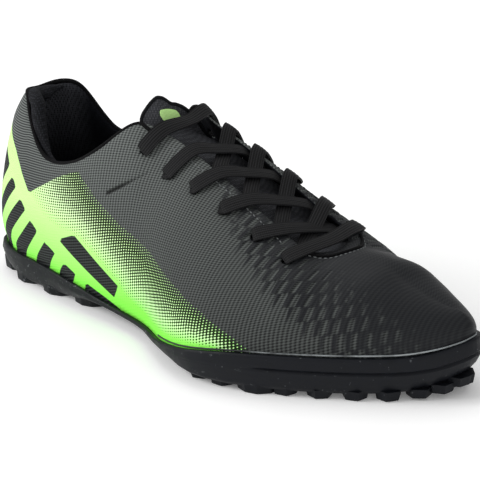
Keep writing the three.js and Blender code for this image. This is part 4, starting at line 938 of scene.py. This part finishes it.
class SHOE_OT_sole(bpy.types.Operator):
    """Smooths the moulded sole and lays the cement line along it"""

    bl_idname = "shoe.sole"
    bl_label = "Sole"

    def execute(self, context):
        sizes = context.scene.shoe_sizes
        piece = copy_of("outsole", "moulded_sole")
        soften(piece, 27, 0.85)
        select_only(piece)
        bpy.ops.object.shade_smooth_by_angle(angle=math.radians(38))
        finish_piece(piece, "outsole", [rubber_material()], "outsole")
        fore = FEATHER[CEMENT_FROM:]
        path = smooth_path(np.vstack([fore[:, [0, 1, 3]], fore[-2::-1, [0, 2, 4]]]), 8)
        shell = tree_of(bpy.data.objects["upper_shell"])
        bead = tube("cement_line", seated(path - (0, 0, 0.9), shell, 0.15), sizes.cement, sides=2)
        finish_piece(bead, "outsole", [cement_material()])
        return {"FINISHED"}


def rubber_material():
    """Moulded rubber: satin, faintly mottled, with pale scuffs, bluer and darker towards the toe."""
    paint = bpy.context.scene.shoe_colours
    made, tree, shader = material("moulded rubber", IOR=1.52, Specular_IOR_Level=0.17)
    places = node(tree, "TexCoord").outputs["Object"]
    split = node(tree, "SeparateXYZ", [places])
    along = node(tree, "MapRange", [split.outputs["X"], -0.06, 0.07])
    tone = node(tree, "Mix", {0: along, 6: (*paint.rubber, 1), 7: (*paint.rubber_toe, 1)},
        data_type="RGBA")
    mottle = node(tree, "TexNoise", {"Vector": places, "Scale": 160.0, "Detail": 5.0, "Roughness": 0.6})
    shade = node(tree, "MapRange", [mottle.outputs["Fac"], 0.3, 0.7, 0.82, 1.2])
    tone = node(tree, "VectorMath", {0: tone, "Scale": shade}, operation="SCALE")
    # Small scuffs and dust, paler than the rubber, mostly at the heel.
    specks = node(tree, "TexNoise", {"Vector": places, "Scale": 380.0, "Detail": 3.0, "Roughness": 0.7})
    fewer = node(tree, "Math", [along, -0.07, specks.outputs["Fac"]], operation="MULTIPLY_ADD")
    scuffed = node(tree, "MapRange", [fewer, 0.6, 0.67, 0, 0.55])
    tone = node(tree, "Mix", {0: scuffed, 6: tone, 7: (*paint.dust, 1)}, data_type="RGBA")
    rough = node(tree, "MapRange", [mottle.outputs["Fac"], 0.3, 0.7, 0.42, 0.62])
    grain = node(tree, "TexNoise", {"Vector": places, "Scale": 1400.0, "Detail": 4.0})
    bump = node(tree, "Bump", {"Strength": 0.3, "Distance": 0.15 * MM, "Height": grain.outputs["Fac"]})
    feed(tree, shader, {"Base Color": tone, "Roughness": rough, "Normal": bump})
    return made


def cement_material():
    """Dried cement squeezed out along the rim: patchy grey, paler round the toe."""
    paint = bpy.context.scene.shoe_colours
    made, tree, shader = material("dried sole cement", Roughness=0.6)
    places = node(tree, "TexCoord").outputs["Object"]
    split = node(tree, "SeparateXYZ", [places])
    patch = node(tree, "TexNoise", {"Vector": places, "Scale": 140.0, "Detail": 4.0})
    toe = node(tree, "MapRange", [split.outputs["X"], 0.06, 0.13, -0.15, 0.25])
    amount = node(tree, "Math", [patch.outputs["Fac"], toe], operation="ADD")
    shown = node(tree, "MapRange", [amount, 0.4, 0.7])
    base = node(tree, "Mix", {0: shown, 6: (*paint.cement_low, 1), 7: (*paint.cement, 1)},
        data_type="RGBA")
    feed(tree, shader, {"Base Color": base})
    return made


class SHOE_OT_footbed(bpy.types.Operator):
    """Covers the foam footbed with brushed cloth"""

    bl_idname = "shoe.footbed"
    bl_label = "Footbed"

    def execute(self, context):
        paint = context.scene.shoe_colours
        piece = copy_of("insole", "footbed")
        soften(piece, 40, 0.6)
        select_only(piece)
        bpy.ops.object.shade_smooth()
        cloth = cloth_material("brushed footbed cloth", paint.footbed, 1500.0, 0.35, 0.9)
        finish_piece(piece, "footbed", [cloth], "insole")
        return {"FINISHED"}


class SHOE_OT_stage(bpy.types.Operator):
    """Sets the pale floor, the soft light and the camera"""

    bl_idname = "shoe.stage"
    bl_label = "Stage"

    def execute(self, context):
        scene = context.scene
        bpy.ops.mesh.primitive_plane_add(size=6, location=(0, 0, -0.0002))
        floor = context.object
        floor.name = "floor"
        made, _, shader = material("pale matt paper", Base_Color=(1, 1, 1, 1), Roughness=0.9,
            Specular_IOR_Level=0.1)
        shader.inputs["Emission Color"].default_value = (1, 1, 1, 1)
        shader.inputs["Emission Strength"].default_value = FLOOR_GLOW
        floor.data.materials.append(made)
        world = bpy.data.worlds.new("soft studio")
        world.use_nodes = True
        world.node_tree.nodes["Background"].inputs[0].default_value = (1, 1, 1, 1)
        world.node_tree.nodes["Background"].inputs[1].default_value = WORLD_STRENGTH
        scene.world = world
        for name, place, size, power in LIGHTS:
            bpy.ops.object.light_add(type="AREA", location=place)
            light = context.object
            light.name = name
            light.data.size = size
            light.data.energy = power
            aim = Vector((0, 0, 0.04)) - Vector(place)
            light.rotation_euler = aim.to_track_quat("-Z", "Y").to_euler()
        angles = (math.radians(90 - CAMERA_DOWN), 0, math.radians(CAMERA_TURN))
        bpy.ops.object.camera_add(location=CAMERA_PLACE, rotation=angles)
        camera = context.object
        camera.name = "photo_camera"
        camera.data.sensor_width = SENSOR_WIDTH
        camera.data.lens = SENSOR_WIDTH * FOCAL_PIXELS / PHOTO_WIDTH
        camera.data.clip_start = 0.01
        scene.camera = camera
        scene.view_settings.view_transform = "Standard"
        return {"FINISHED"}


class SHOE_PT_sidebar(bpy.types.Panel):
    """The shoe's pieces, sizes and colours"""

    bl_label = "Turf shoe"
    bl_idname = "SHOE_PT_sidebar"
    bl_space_type = "VIEW_3D"
    bl_region_type = "UI"
    bl_category = "Shoe"

    def draw(self, context):
        for operator in OPERATORS:
            self.layout.operator(operator.bl_idname)
        for group in (context.scene.shoe_sizes, context.scene.shoe_colours):
            for name in group.__annotations__:
                self.layout.prop(group, name)


OPERATORS = (SHOE_OT_upper, SHOE_OT_collar, SHOE_OT_tongue, SHOE_OT_laces, SHOE_OT_sole, SHOE_OT_footbed,
    SHOE_OT_stage)
CLASSES = (ShoeSizes, ShoeColours, *OPERATORS, SHOE_PT_sidebar)


def register():
    for item in CLASSES:
        bpy.utils.register_class(item)
    bpy.types.Scene.shoe_sizes = bpy.props.PointerProperty(type=ShoeSizes)
    bpy.types.Scene.shoe_colours = bpy.props.PointerProperty(type=ShoeColours)


def unregister():
    del bpy.types.Scene.shoe_colours
    del bpy.types.Scene.shoe_sizes
    for item in reversed(CLASSES):
        bpy.utils.unregister_class(item)


def main():
    register()
    bpy.ops.shoe.upper()
    bpy.ops.shoe.collar()
    bpy.ops.shoe.tongue()
    bpy.ops.shoe.laces()
    bpy.ops.shoe.sole()
    bpy.ops.shoe.footbed()
    bpy.ops.shoe.stage()


if __name__ == "__main__":
    main()
